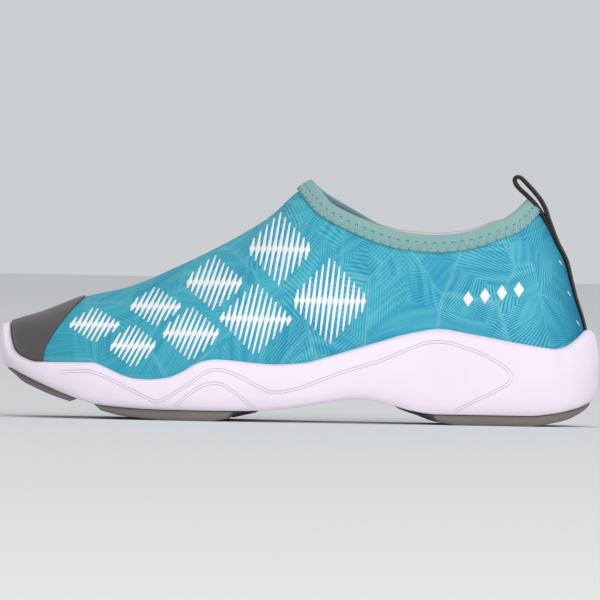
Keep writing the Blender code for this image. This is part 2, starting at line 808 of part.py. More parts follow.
def build_pad(name, shape, edge, finish, group, cutters):
    """A rubber pad under the foam: top against the underside, bottom on the rolling line."""
    along, across = 16, 6
    at_toe, at_heel = shape["start"][0] < TOE_AT, shape["end"][0] > heel_back(HEEL_STACK)
    ring = 2 * (across + 1)

    def place(i, j):
        j %= ring
        low = j > across
        q = (ring - 1 - j if low else j) / across
        p = i / along
        chamfer = PAD_CHAMFER / SOLE_LENGTH if low else 0
        start = mix(*shape["start"], q) + (0 if at_toe else chamfer)
        end = mix(*shape["end"], q) - (0 if at_heel else chamfer)
        if at_toe:
            start, p = edge["toe"] + PAD_INSET / SOLE_LENGTH, p**1.6
        if at_heel:
            end, p = edge["heel"] - PAD_INSET / SOLE_LENGTH, 1 - (1 - p) ** 1.6
        at = mix(start, end, p)
        inset = PAD_INSET + (PAD_DRAFT if low else 0)
        lateral, medial = edge[LATERAL](at) + inset, edge[MEDIAL](at) - inset
        if lateral > medial:
            lateral = medial = (lateral + medial) / 2
        height = underside(at) - (OUTSOLE_THICKNESS * under_rubber(at) if low else FIT)
        return Vector((x_of(at), mix(lateral, medial, q), height))

    bm = mapped_grid(along, ring, place)
    bmesh.ops.remove_doubles(bm, verts=bm.verts, dist=0.00002)
    bmesh.ops.holes_fill(bm, edges=[e for e in bm.edges if e.is_boundary], sides=0)
    piece = add_piece(name, bm, finish, group)
    for number, at in enumerate(shape["cuts"]):
        lateral, medial = edge[LATERAL](at), edge[MEDIAL](at)
        width = (medial - lateral) - 2 * TREAD_MARGIN
        ground = underside(at) - OUTSOLE_THICKNESS * under_rubber(at)
        slope = (underside(at + 0.01) - underside(at - 0.01)) / (0.02 * SOLE_LENGTH)
        box = bmesh.new()
        bmesh.ops.create_cube(box, size=1)
        bmesh.ops.scale(box, vec=(TREAD_WIDTH, width, 2 * TREAD_DEPTH), verts=box.verts)
        tilt = Matrix.Rotation(-math.atan(slope), 4, "Y")
        place_at = Matrix.Translation((x_of(at), (lateral + medial) / 2, ground))
        bmesh.ops.transform(box, matrix=place_at @ tilt, verts=box.verts)
        cut_from(piece, add_piece(f"{name}_groove_{number}", box, finish, cutters))
    return piece


def main():
    for thing in list(bpy.data.objects):
        bpy.data.objects.remove(thing)
    group = bpy.data.collections.new("water_shoe")
    cutters = bpy.data.collections.new("cutters")
    for collection in (group, cutters):
        bpy.context.scene.collection.children.link(collection)
    fabric = material("turquoise_stretch_fabric", "4ab4cd", 0.75)
    foam = material("white_foam", "efe6f2", 0.55)
    rubber = material("grey_rubber", "78736f", 0.7)
    build_upper(fabric, group)
    build_insole(material("pale_sockliner_foam", "d9d4d2", 0.85), group)
    build_toe_cap(material("grey_film", "5c575b", 0.45), group)
    build_binding(material("pale_aqua_binding", "8ab9bc", 0.8), group)
    build_tape(material("black_webbing", "1c1c1f", 0.85), group, cutters)
    _, edge = build_midsole(foam, group)
    lines = edge_lines(edge)
    for name, shape in PADS.items():
        build_pad(name, shape, lines, rubber, group, cutters)
    centre_on_footprint(group, cutters, bpy.data.objects["midsole"])


def centre_on_footprint(group, cutters, widest):
    """Moves every piece so that the widest one is centred over the origin."""
    places = np.array([vert.co for vert in widest.data.vertices])
    middle = (places.min(axis=0) + places.max(axis=0)) / 2
    shift = Matrix.Translation((-middle[0], -middle[1], 0))
    for piece in [*group.objects, *cutters.objects]:
        piece.data.transform(shift)


main()
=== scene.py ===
"""The looks of a left slip-on water shoe: printed stretch upper, moulded foam cup and rubber pads.

Metres, +Z up. The toe points along -X and the lateral side faces -Y.
"""

import math

import bmesh
import bpy
import numpy as np
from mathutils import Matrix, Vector
from mathutils.bvhtree import BVHTree


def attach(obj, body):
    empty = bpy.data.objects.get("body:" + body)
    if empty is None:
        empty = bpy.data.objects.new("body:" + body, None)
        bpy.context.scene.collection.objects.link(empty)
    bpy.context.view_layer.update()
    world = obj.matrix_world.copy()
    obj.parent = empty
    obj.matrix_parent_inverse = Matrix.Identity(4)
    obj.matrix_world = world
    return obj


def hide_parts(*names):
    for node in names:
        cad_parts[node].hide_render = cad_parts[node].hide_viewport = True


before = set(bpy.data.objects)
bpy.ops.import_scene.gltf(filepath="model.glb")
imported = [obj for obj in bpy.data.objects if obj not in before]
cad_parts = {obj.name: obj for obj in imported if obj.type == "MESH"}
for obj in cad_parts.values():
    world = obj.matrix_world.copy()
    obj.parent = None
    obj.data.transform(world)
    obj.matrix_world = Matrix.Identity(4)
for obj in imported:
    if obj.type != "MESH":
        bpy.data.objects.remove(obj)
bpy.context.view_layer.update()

# Lengths along the shoe
SOLE_LENGTH = 0.266
TOE_ROUND = 0.044
HEEL_ROUND = 0.033

# Widths of the last, without the foam wall around it, and where it narrows from ball to heel, as
# shares of SOLE_LENGTH
BALL_WIDTH = 0.090
HEEL_WIDTH = 0.062
RIDGE_SWING = 0.004
WAIST_START = 0.35
WAIST_LENGTH = 0.40

# Heights above the floor
INSTEP_HEIGHT = 0.1065
HEEL_HEIGHT = 0.0995
ANKLE_HEIGHT = 0.0829
MEDIAL_LIFT = 0.0009
THROAT_LIFT = 0.0027
HEEL_STACK = 0.022
TOE_SPRING = 0.0176
ARCH_RISE = 0.0062
HEEL_BEVEL = 0.0148
SIDEWALL_HEIGHT = 0.0426
TOE_BUMPER_RISE = 0.0175
HEEL_TAB_RISE = 0.0120

# Where the collar's medial edge lifts behind the throat and falls again, as shares of its length
THROAT_RISE_LENGTH = 0.10
THROAT_FALL_END = 0.34
THROAT_FALL_LENGTH = 0.22

# Thicknesses
UPPER_WALL = 0.0020
SIDE_WALL = 0.0054
OUTSOLE_THICKNESS = 0.0047
INSOLE_THICKNESS = 0.0035
TOE_CAP_THICKNESS = 0.0006
BINDING_THICKNESS = 0.0010
PRINT_THICKNESS = 0.00012

# Clearances
FIT = 0.0003
CUP_FIT = 0.00035
CAP_SETBACK = 0.0007
CAP_FRONT = 0.0011
INSOLE_FIT = 0.0004
INSOLE_SIDE_FIT = 0.0009

# How far the film's colour on the upper ends before the toe cap's back edge, as a share of
# SOLE_LENGTH, and the rounding of the cap's own edge
FILM_SETBACK = 0.016
CAP_ROUNDING = 0.0003

# Power of the toe's plan: 2 is an ellipse and more is blunter
TOE_BLUNTNESS = 2.5

# How far the last is moved so that the sole's footprint is centred over the origin
SHIFT_X = 0.000084
SHIFT_Y = 0.002472

# The folded binding: its width, its outer and inner face off the cloth, and its soft gathers
BINDING_WIDTH = 0.0068
BINDING_FAR = FIT + BINDING_THICKNESS
BINDING_NEAR = FIT / 2
PUCKER = 0.00018

# Its zigzag stitch: the two rows of corners as shares of the binding's width below the collar's
# edge, how high the thread lies and how deep it sinks at the corners, how far the needle holes lie
# below the thread, and their radii in the two rows
STITCH_PITCH = 0.0038
STITCH_HIGH_ROW = 0.48
STITCH_LOW_ROW = 0.95
THREAD_RADIUS = 0.00026
THREAD_LIFT = 0.0002
THREAD_SINK = 0.00024
HOLE_DROP = 0.0001
HOLE_HIGH = 0.0007425
HOLE_LOW = 0.000385

# The heel tape: its thickness low and high on the heel and where it changes, how deep its foot is
# tucked in behind the foam's tab, and the height from which it follows TAPE_PATH
TAPE_WIDTH = 0.0120
TAPE_THIN = 0.0010
TAPE_THICK = 0.0015
TAPE_SWELL_HEIGHT = 0.058
TAPE_SWELL_LENGTH = 0.016
TAPE_TUCK = 0.0016
TAPE_PATH_HEIGHT = 0.0805

# The white stitches beside the heel tape: their heights, half height and radius, then their
# distance from the heel's back line and their lean as shares of SOLE_LENGTH
HEEL_STITCHES = (0.0727, 0.0591, 0.0461)
HEEL_STITCH_HALF = 0.0012
HEEL_STITCH_RADIUS = 0.00025
HEEL_STITCH_INSET = 0.0095
HEEL_STITCH_LEAN = 0.0030

# The white print: its bars' pitch, the shortest bar, and the band where the bars run together. Then
# the bars' width in the middle, its taper to the ends and its swell in the band, as shares of the
# pitch, their slant in degrees towards the toe and the instep, and the film's height off the cloth.
BAR_PITCH = 0.00245
SHORTEST_BAR = 0.0042
BAR_BAND = 0.0011
BAR_WIDTH = 0.68
BAR_TAPER = 0.40
BAR_SWELL = 0.42
BAR_SLANT = (62, 84)
PRINT_LIFT = 0.00008

# The foam cup: where its side turns up from the foot and where its rim starts to roll in, as shares
# of the wall's height, and a soft dent near the heel with its place and half sizes
WALL_FOOT = 0.08
RIM_START = 0.90
HEEL_DENT = 0.0008
HEEL_DENT_AT = 0.939
HEEL_DENT_HEIGHT = 0.0315
HEEL_DENT_SIZE = (0.0022, 0.0060)

# The moulded hairlines: the distance between each pair, their radius, the spacing of their rings,
# how deep their middle lies in the foam, the lengths over which they fade out, at the long line's
# start and at every other end, and how far out the rays start that find the foam's face
MOULD_GAP = 0.00116
MOULD_RADIUS = 0.00014
MOULD_STEP = 0.0005
MOULD_SINK = 0.00003
MOULD_LONG_FADE = 0.014
MOULD_FADE = 0.002
MOULD_PROBE = 0.2

# The rubber pads: their edges, their main bars and the fine zigzag tread between the bars
PAD_INSET = 0.0007
PAD_DRAFT = 0.0007
PAD_CHAMFER = 0.0030
PAD_ROUNDING = 0.0004
PAD_STEP = 0.0007
TREAD_WIDTH = 0.0022
TREAD_DEPTH = 0.0016
TREAD_MARGIN = 0.012
ZIGZAG_PITCH = 0.0052
ZIGZAG_WIDTH = 0.0011
ZIGZAG_DEPTH = 0.0007
ZIGZAG_LENGTH = 0.008
ZIGZAG_REACH = 0.006
ZIGZAG_MARGIN = 0.004
ZIGZAG_CLEARANCE = 0.003

# Sizes of the printed line pattern: its patches, its lines' period, how wide its fans spread and
# how much its edges wander
PATCH_SIZE = 0.030
LINE_PERIOD = 0.00145
FAN_SPREAD = 0.032
LINE_DRIFT = 0.0024

# Pitches of yarn and grain. The knit, the threads and the foam's skin are finer than this in fact,
# and are drawn as coarse as the render needs to show them.
KNIT_PITCH = 0.0008
BAND_PITCH = 0.0007
WEBBING_PITCH = 0.0012
FOAM_GRAIN = 0.001111
NAP_PITCH = 0.002

# The camera: level with the shoe and far off, with a long lens. Degrees and metres.
CAMERA_DISTANCE = 6.0
CAMERA_RISE = 0.35
CAMERA_ROLL = 1.06
CAMERA_TARGET = (-0.00036, 0.0, 0.0540)
LENS = 134.9 * CAMERA_DISTANCE
FLOOR_SIZE = 30.0

# The soft lights: place, aim, size and power
LIGHTS = {
    "key": ((2.2, -5.4, 4.0), (0.02, 0, 0.04), 3.6, 106),
    "front": ((2.4, -7.6, 1.9), (0, 0, 0.04), 3.4, 140),
    "toe": ((-5.0, -2.1, 2.0), (-0.08, 0, 0.03), 2.4, 2),
    "top": ((0.4, 2.0, 5.2), (0, 0, 0.05), 3.2, 16),
}


class Sections:
    """A table with a row for each section along the shoe and a name for each column."""

    def __init__(self, columns, rows):
        self.columns = columns
        self.rows = np.array(rows, float)

    def line(self, column, along="at"):
        """A smooth curve through one column that never overshoots its values."""
        knots = self.rows[:, self.columns.index(along)]
        values = self.rows[:, self.columns.index(column)]
        steps = np.diff(knots)
        slopes = np.diff(values) / steps
        tangents = np.zeros(len(knots))
        tangents[0], tangents[-1] = slopes[0], slopes[-1]
        for i in range(1, len(steps)):
            if slopes[i - 1] * slopes[i] > 0:
                before = 2 * steps[i] + steps[i - 1]
                after = steps[i] + 2 * steps[i - 1]
                tangents[i] = (before + after) / (before / slopes[i - 1] + after / slopes[i])

        def at(place):
            place = np.clip(place, knots[0], knots[-1])
            i = np.clip(np.searchsorted(knots, place, side="right") - 1, 0, len(steps) - 1)
            t = (place - knots[i]) / steps[i]
            return (
                (1 + 2 * t) * (1 - t) ** 2 * values[i]
                + t * (1 - t) ** 2 * steps[i] * tangents[i]
                + t * t * (3 - 2 * t) * values[i + 1]
                + t * t * (t - 1) * steps[i] * tangents[i + 1]
            )

        return at


# The last from above: the centre line's swing and the half widths to each side, as shares of the
# half width there. Then the foam wall's reach as a share of SIDE_WALL, and how far its foot tucks
# under. "at" is always a share of SOLE_LENGTH from the toe.
PLAN = Sections(
    ("at", "centre", "lateral", "medial", "wall", "tuck"),
    [
        (0.0145, 0.110, 0.845, 0.800, 0.80, 0.38),
        (0.0500, 0.100, 0.842, 0.800, 0.84, 0.25),
        (0.1000, 0.075, 0.851, 0.855, 0.92, 0.10),
        (0.1500, 0.040, 0.884, 0.871, 0.98, 0.00),
        (0.2000, 0.013, 0.935, 0.911, 1.00, 0.00),
        (0.2500, 0.000, 0.989, 0.944, 1.00, 0.00),
        (0.3000, 0.000, 1.033, 0.944, 1.00, 0.00),
        (0.3500, 0.000, 1.055, 0.911, 1.00, 0.00),
        (0.4500, 0.000, 1.063, 0.813, 1.00, 0.00),
        (0.5500, 0.000, 1.060, 0.789, 1.00, 0.00),
        (0.6500, 0.000, 1.070, 0.858, 1.00, 0.00),
        (0.7500, 0.000, 1.048, 0.945, 1.00, 0.00),
        (0.8600, 0.000, 1.000, 0.970, 0.98, 0.00),
        (0.9800, 0.000, 1.000, 0.970, 0.93, 0.00),
    ],
)

# The footbed inside the foam cup, in shares of HEEL_STACK and TOE_SPRING
FOOTBED = Sections(
    ("at", "stack", "spring"),
    [
        (0.0145, 0.62, 0.70),
        (0.0500, 0.61, 0.50),
        (0.1000, 0.60, 0.28),
        (0.1500, 0.59, 0.13),
        (0.2000, 0.57, 0.05),
        (0.2700, 0.56, 0.00),
        (0.3500, 0.57, 0.00),
        (0.4500, 0.64, 0.00),
        (0.5500, 0.77, 0.00),
        (0.6500, 0.91, 0.00),
        (0.7500, 0.99, 0.00),
        (0.8500, 1.00, 0.00),
        (0.9900, 1.04, 0.00),
    ],
)

# The foam's underside above the rubber's thickness, and the rubber's own thickness
UNDERSIDE = Sections(
    ("at", "spring", "arch", "bevel", "rubber"),
    [
        (0.000, 1.000, 0.00, 0.00, 0.72),
        (0.024, 0.950, 0.00, 0.00, 0.78),
        (0.045, 0.800, 0.00, 0.00, 0.82),
        (0.085, 0.520, 0.00, 0.00, 0.73),
        (0.125, 0.270, 0.00, 0.00, 0.52),
        (0.145, 0.170, 0.00, 0.00, 0.47),
        (0.165, 0.100, 0.00, 0.00, 0.50),
        (0.205, 0.042, 0.00, 0.00, 0.80),
        (0.250, 0.010, 0.00, 0.00, 0.92),
        (0.285, 0.000, 0.00, 0.00, 1.00),
        (0.350, 0.000, 0.00, 0.00, 1.00),
        (0.387, 0.000, 0.01, 0.00, 0.71),
        (0.427, 0.000, 0.05, 0.00, 0.45),
        (0.465, 0.000, 0.17, 0.00, 0.35),
        (0.507, 0.000, 0.42, 0.00, 0.35),
        (0.547, 0.000, 0.74, 0.00, 0.35),
        (0.600, 0.000, 1.00, 0.00, 0.35),
        (0.647, 0.000, 0.68, 0.00, 0.28),
        (0.688, 0.000, 0.22, 0.00, 0.36),
        (0.728, 0.000, 0.00, 0.00, 0.72),
        (0.770, 0.000, 0.00, 0.00, 1.00),
        (0.880, 0.000, 0.00, 0.00, 1.00),
        (0.928, 0.000, 0.00, 0.09, 0.88),
        (0.948, 0.000, 0.00, 0.17, 0.82),
        (0.968, 0.000, 0.00, 0.31, 0.69),
        (0.988, 0.000, 0.00, 0.58, 0.58),
        (1.000, 0.000, 0.00, 1.00, 0.40),
    ],
)

# The foam wall's wavy top edge, in shares of SIDEWALL_HEIGHT, TOE_BUMPER_RISE and HEEL_TAB_RISE
RIM = Sections(
    ("at", "wall", "bumper", "tab"),
    [
        (0.0145, 0.585, 1.00, 0.00),
        (0.0158, 0.585, 0.92, 0.00),
        (0.0180, 0.585, 0.70, 0.00),
        (0.0215, 0.585, 0.45, 0.00),
        (0.0260, 0.585, 0.28, 0.00),
        (0.0400, 0.585, 0.10, 0.00),
        (0.0650, 0.580, 0.00, 0.00),
        (0.1560, 0.585, 0.00, 0.00),
        (0.1814, 0.530, 0.00, 0.00),
        (0.2050, 0.465, 0.00, 0.00),
        (0.2252, 0.432, 0.00, 0.00),
        (0.2486, 0.423, 0.00, 0.00),
        (0.2820, 0.448, 0.00, 0.00),
        (0.3052, 0.510, 0.00, 0.00),
        (0.3317, 0.606, 0.00, 0.00),
        (0.3600, 0.643, 0.00, 0.00),
        (0.4571, 0.603, 0.00, 0.00),
        (0.5056, 0.624, 0.00, 0.00),
        (0.5455, 0.692, 0.00, 0.00),
        (0.6253, 0.847, 0.00, 0.00),
        (0.6852, 0.955, 0.00, 0.00),
        (0.7300, 1.000, 0.00, 0.00),
        (0.7855, 0.951, 0.00, 0.00),
        (0.8661, 0.862, 0.00, 0.00),
        (0.9180, 0.812, 0.00, 0.00),
        (0.9340, 0.800, 0.00, 0.08),
        (0.9550, 0.790, 0.00, 0.40),
        (0.9740, 0.740, 0.00, 0.98),
    ],
)

# The foam wall's side from the underside up to the rim, as shares of its height and of its reach
WALL_SIDE = Sections(
    ("rise", "reach"),
    [
        (0.00, 0.42),
        (0.08, 0.72),
        (0.27, 0.95),
        (0.50, 1.00),
        (0.74, 0.93),
        (0.92, 0.76),
        (1.00, 0.54),
    ],
)

# The top line over toe and instep, then the line that the ankle would follow above the collar.
# "dome" is how boxy a cross-section is: 2 is an ellipse.
RIDGE = Sections(
    ("at", "rise", "dome"),
    [
        (0.0145, 0.391, 5.50),
        (0.0330, 0.407, 4.60),
        (0.0620, 0.429, 3.60),
        (0.1025, 0.469, 2.80),
        (0.1275, 0.495, 2.50),
        (0.1620, 0.519, 2.25),
        (0.2020, 0.542, 2.10),
        (0.2420, 0.578, 2.05),
        (0.2820, 0.625, 2.05),
        (0.3220, 0.673, 2.05),
        (0.3620, 0.725, 2.05),
        (0.4010, 0.780, 2.05),
        (0.4410, 0.845, 2.05),
        (0.4610, 0.888, 2.05),
        (0.4800, 0.936, 2.05),
        (0.5133, 1.000, 2.05),
        (0.5600, 1.090, 2.05),
        (0.6200, 1.170, 2.05),
        (0.7000, 1.220, 2.05),
        (1.0000, 1.230, 2.05),
    ],
)

# The heel's back line, by share of HEEL_HEIGHT
HEEL_BACK = Sections(
    ("height", "at"),
    [
        (0.23, 0.9800),
        (0.29, 0.9808),
        (0.36, 0.9790),
        (0.44, 0.9743),
        (0.57, 0.9590),
        (0.66, 0.9490),
        (0.74, 0.9400),
        (0.81, 0.9262),
        (0.88, 0.9135),
        (0.93, 0.9020),
        (0.96, 0.8930),
        (1.00, 0.8770),
    ],
)

# The collar's edge, from its lowest point up to the instep in front and up to the heel behind
COLLAR = Sections(
    ("at", "rise"),
    [
        (0.5133, 1.00),
        (0.5458, 0.58),
        (0.5716, 0.415),
        (0.5974, 0.290),
        (0.6318, 0.145),
        (0.6640, 0.050),
        (0.7205, 0.000),
        (0.7607, 0.057),
        (0.7913, 0.176),
        (0.8181, 0.346),
        (0.8408, 0.470),
        (0.8600, 0.705),
        (0.8770, 1.000),
    ],
)

# The cap's back edge on each flank, from the rim up to the ridge
TOE_CAP_EDGE = Sections(
    ("climb", "at"),
    [
        (0.00, 0.0725),
        (0.20, 0.0745),
        (0.45, 0.0850),
        (0.65, 0.0990),
        (0.82, 0.1150),
        (1.00, 0.1400),
    ],
)

# Where each rubber pad starts and ends, on the lateral and medial edge, and its cross bars
PADS = {
    "outsole_toe": {"start": (0.0, 0.0), "end": (0.130, 0.122), "cuts": (0.055, 0.085)},
    "outsole_forefoot": {
        "start": (0.160, 0.150),
        "end": (0.390, 0.438),
        "cuts": (0.20, 0.24, 0.275, 0.36, 0.385),
    },
    "outsole_heel": {"start": (0.722, 0.655), "end": (1.0, 1.0), "cuts": (0.745, 0.885, 0.92)},
}

# The heel tape's strand in side view above the heel's steep part: up the back, round the loop's tip
# and down in front to its sewn end, as share along the shoe, height and thickness
TAPE_PATH = (
    (0.9264, 0.0830, 0.0015),
    (0.9229, 0.0853, 0.0015),
    (0.9181, 0.0885, 0.0016),
    (0.9125, 0.0921, 0.0017),
    (0.9072, 0.0966, 0.0018),
    (0.8992, 0.1004, 0.0018),
    (0.8874, 0.1042, 0.0018),
    (0.8748, 0.1077, 0.0018),
    (0.8658, 0.1102, 0.0017),
    (0.8583, 0.1110, 0.0017),
    (0.8535, 0.1098, 0.0017),
    (0.8552, 0.1077, 0.0017),
    (0.8617, 0.1055, 0.0018),
    (0.8710, 0.1034, 0.0018),
    (0.8804, 0.1011, 0.0018),
    (0.8886, 0.0989, 0.0018),
    (0.8960, 0.0964, 0.0017),
    (0.9022, 0.0940, 0.0016),
    (0.9076, 0.0914, 0.0015),
    (0.9130, 0.0885, 0.0012),
    (0.9194, 0.0853, 0.0011),
    (0.9241, 0.0828, 0.0006),
)

# Soft creases in the cloth: side, both ends as share along the shoe and height, width and depth
CREASES = (
    (-1, (0.23, 0.0520), (0.33, 0.0400), 0.0050, 0.00035),
    (-1, (0.40, 0.0600), (0.47, 0.0760), 0.0045, 0.00040),
    (-1, (0.60, 0.0640), (0.72, 0.0560), 0.0050, 0.00035),
    (-1, (0.80, 0.0700), (0.90, 0.0560), 0.0050, 0.00030),
    (1, (0.24, 0.0500), (0.36, 0.0440), 0.0050, 0.00040),
    (1, (0.46, 0.0640), (0.55, 0.0520), 0.0050, 0.00045),
    (1, (0.74, 0.0620), (0.88, 0.0640), 0.0050, 0.00035),
)

# The white print's diamonds: centre as share along the shoe and height, then half sizes
DIAMONDS = (
    (0.157, 0.0415, 0.0135, 0.0080),
    (0.222, 0.0325, 0.0130, 0.0100),
    (0.258, 0.0500, 0.0140, 0.0090),
    (0.318, 0.0385, 0.0150, 0.0125),
    (0.355, 0.0610, 0.0150, 0.0125),
    (0.425, 0.0455, 0.0170, 0.0165),
    (0.463, 0.0765, 0.0160, 0.0165),
    (0.548, 0.0540, 0.0190, 0.0195),
)
SMALL_DIAMONDS = ((0.778, 0.0560), (0.806, 0.0575), (0.834, 0.0590), (0.862, 0.0605))
SMALL_DIAMOND = (0.0024, 0.0036)

# The double line moulded into the foam's side, and the short one under its first arch
MOULD_LINE = (
    (0.0779, 0.0199),
    (0.1147, 0.0207),
    (0.1447, 0.0213),
    (0.1615, 0.0205),
    (0.1817, 0.0182),
    (0.2155, 0.0139),
    (0.2492, 0.0096),
    (0.2627, 0.0081),
    (0.2760, 0.0093),
    (0.2991, 0.0134),
    (0.3256, 0.0180),
    (0.3453, 0.0221),
    (0.3587, 0.0230),
    (0.3737, 0.0227),
    (0.4074, 0.0193),
    (0.4361, 0.0150),
    (0.4496, 0.0135),
    (0.4664, 0.0133),
    (0.4997, 0.0153),
    (0.5661, 0.0223),
    (0.6326, 0.0279),
    (0.6857, 0.0340),
    (0.7056, 0.0361),
    (0.7256, 0.0369),
    (0.7490, 0.0365),
    (0.7995, 0.0323),
    (0.8333, 0.0276),
    (0.8468, 0.0250),
    (0.8537, 0.0219),
    (0.8473, 0.0188),
    (0.8175, 0.0142),
    (0.7843, 0.0100),
    (0.7545, 0.0058),
)
MOULD_ARCH = (
    (0.2897, 0.0053),
    (0.3094, 0.0103),
    (0.3325, 0.0149),
    (0.3457, 0.0165),
    (0.3591, 0.0170),
    (0.3725, 0.0164),
    (0.3928, 0.0130),
    (0.4131, 0.0091),
    (0.4301, 0.0056),
)

# The body that every piece rides, and how near two vertices are merged
BODY = "root"
MERGE_DISTANCE = 0.000004

# Places along the shoe that the tables give
TOE_AT = float(PLAN.rows[0, 0])
THROAT_AT = float(COLLAR.rows[0, 0])
COLLAR_LOW_AT = float(COLLAR.rows[int(np.argmin(COLLAR.rows[:, 1])), 0])
LATERAL, MEDIAL = -1, 1
FULL_TURN = 2 * math.pi

plan_centre = PLAN.line("centre")
plan_side = {LATERAL: PLAN.line("lateral"), MEDIAL: PLAN.line("medial")}
plan_wall = PLAN.line("wall")
plan_tuck = PLAN.line("tuck")
footbed_stack = FOOTBED.line("stack")
footbed_spring = FOOTBED.line("spring")
under_spring = UNDERSIDE.line("spring")
under_arch = UNDERSIDE.line("arch")
under_bevel = UNDERSIDE.line("bevel")
under_rubber = UNDERSIDE.line("rubber")
rim_wall = RIM.line("wall")
rim_bumper = RIM.line("bumper")
rim_tab = RIM.line("tab")
ridge_rise = RIDGE.line("rise")
ridge_dome = RIDGE.line("dome")
heel_back_at = HEEL_BACK.line("at", along="height")
collar_rise = COLLAR.line("rise")
cap_edge_at = TOE_CAP_EDGE.line("at", along="climb")
wall_reach = WALL_SIDE.line("reach", along="rise")


def mix(a, b, share):
    """The value at a share of the way from a to b."""
    return a + (b - a) * share


def ease(value):
    """A soft step from 0 to 1."""
    value = np.clip(value, 0, 1)
    return value * value * (3 - 2 * value)


def share_of(x):
    """Where an x lies along the shoe, as a share of its length from the toe."""
    return (x - SHIFT_X) / SOLE_LENGTH + 0.5


def x_of(at):
    return (at - 0.5) * SOLE_LENGTH + SHIFT_X


def footbed(at):
    """The height of the foam's floor inside the cup."""
    return HEEL_STACK * footbed_stack(at) + TOE_SPRING * footbed_spring(at)


def feather(at):
    """The height of the upper's lower edge, just above the footbed."""
    return footbed(at) + FIT


def underside(at):
    """The height of the foam's underside, where the rubber pads start."""
    return (
        OUTSOLE_THICKNESS
        + TOE_SPRING * under_spring(at)
        + ARCH_RISE * under_arch(at)
        + HEEL_BEVEL * under_bevel(at)
    )


def rim(at):
    """The height of the foam wall's top edge."""
    return (
        SIDEWALL_HEIGHT * rim_wall(at)
        + TOE_BUMPER_RISE * rim_bumper(at)
        + HEEL_TAB_RISE * rim_tab(at)
    )


def roof(at):
    """The height of the last's ridge, over toe and instep and on above the collar."""
    return INSTEP_HEIGHT * ridge_rise(at)


def climb_at(at, height):
    """How far up from the footbed to the ridge a height lies."""
    return (height - feather(at)) / (roof(at) - feather(at))


def heel_back(height):
    return heel_back_at(height / HEEL_HEIGHT)


def collar(at, side):
    """The collar edge's height: it climbs to the instep in front and to the heel behind."""
    top = np.where(at < COLLAR_LOW_AT, INSTEP_HEIGHT, HEEL_HEIGHT)
    along = np.clip((at - THROAT_AT) / (heel_back(HEEL_HEIGHT) - THROAT_AT), 0, 1)
    throat = ease(along / THROAT_RISE_LENGTH) * ease((THROAT_FALL_END - along) / THROAT_FALL_LENGTH)
    lift = MEDIAL_LIFT * np.abs(np.sin(math.pi * along)) ** 0.8 + THROAT_LIFT * throat
    lift = np.where(side == MEDIAL, lift, 0)
    return mix(ANKLE_HEIGHT, top, collar_rise(at)) + lift


def last_half_width(at):
    return mix(BALL_WIDTH, HEEL_WIDTH, ease((at - WAIST_START) / WAIST_LENGTH)) / 2


def skin_y(at, height, side):
    """How far out the last's skin is: each section is a dome, rounded in plan at toe and heel."""
    climb = np.clip(climb_at(at, height), 0, 1)
    dome = np.sqrt(1 - climb ** ridge_dome(at))
    behind = np.clip((at - heel_back(height)) * SOLE_LENGTH / HEEL_ROUND + 1, 0, 1)
    ahead = np.clip((at - TOE_AT) * SOLE_LENGTH / TOE_ROUND, 0, 1)
    rounding = np.sqrt(1 - behind**2) * np.sqrt(1 - (1 - ahead) ** TOE_BLUNTNESS)
    half = last_half_width(at)
    swing = RIDGE_SWING * climb**1.5 * ease((at - 0.05) / 0.25) * ease((0.88 - at) / 0.40)
    width = np.where(side == LATERAL, plan_side[LATERAL](at), plan_side[MEDIAL](at))
    return half * plan_centre(at) + swing + side * half * width * dome * rounding + SHIFT_Y


def ridge_points():
    """The top line in side view, from the feather line up the toe's face and on to the throat."""
    ats = TOE_AT + (THROAT_AT - TOE_AT) * np.linspace(0, 1, 1200) ** 1.5
    points = np.vstack([[TOE_AT, feather(TOE_AT)], np.column_stack([ats, roof(ats)])])
    runs = np.hypot(np.diff(points[:, 0]) * SOLE_LENGTH, np.diff(points[:, 1]))
    return points, np.concatenate(([0.0], np.cumsum(runs)))


RIDGE_POINTS, RIDGE_RUN = ridge_points()


def on_ridge(v):
    run = v * RIDGE_RUN[-1]
    return [np.interp(run, RIDGE_RUN, RIDGE_POINTS[:, k]) for k in (0, 1)]


def on_heel(v):
    height = mix(feather(heel_back(HEEL_STACK)), HEEL_HEIGHT, v)
    return [heel_back(height), height]


def skin_place(theta, v, side):
    """The share along the shoe and the height of a point of the skin."""
    s = (1 - np.cos(theta)) / 2
    ends = zip(on_ridge(0.0), on_heel(0.0), on_ridge(1.0), on_heel(1.0), on_ridge(v), on_heel(v))
    toe_heel = list(ends)
    low_at = mix(toe_heel[0][0], toe_heel[0][1], s)
    high_at = mix(toe_heel[0][2], toe_heel[0][3], s)
    lines = ((low_at, high_at), (feather(low_at), collar(high_at, side)))
    place = []
    for (low, high), (toe, heel, throat, back, front_v, back_v) in zip(lines, toe_heel):
        corners = (1 - s) * (1 - v) * toe + s * (1 - v) * heel
        corners += (1 - s) * v * throat + s * v * back
        place.append((1 - v) * low + v * high + (1 - s) * front_v + s * back_v - corners)
    return place


def skin(theta, v):
    """Points of the last's skin. theta runs round from the toe (0) past the lateral side to the
    heel (pi) and back along the medial side; v climbs from the feather line (0) to the collar (1)."""
    theta, v = np.broadcast_arrays(np.asarray(theta, float) % FULL_TURN, np.asarray(v, float))
    side = np.where(theta < math.pi, LATERAL, MEDIAL)
    at, height = skin_place(theta, v, side)
    y = skin_y(at, height, side)
    seam = np.abs(np.sin(theta)) < 1e-7
    y = np.where(seam, (y + skin_y(at, height, -side)) / 2, y)
    return np.stack([x_of(at), y, height], axis=-1)


def unit(vectors):
    return vectors / np.maximum(np.linalg.norm(vectors, axis=-1, keepdims=True), 1e-12)


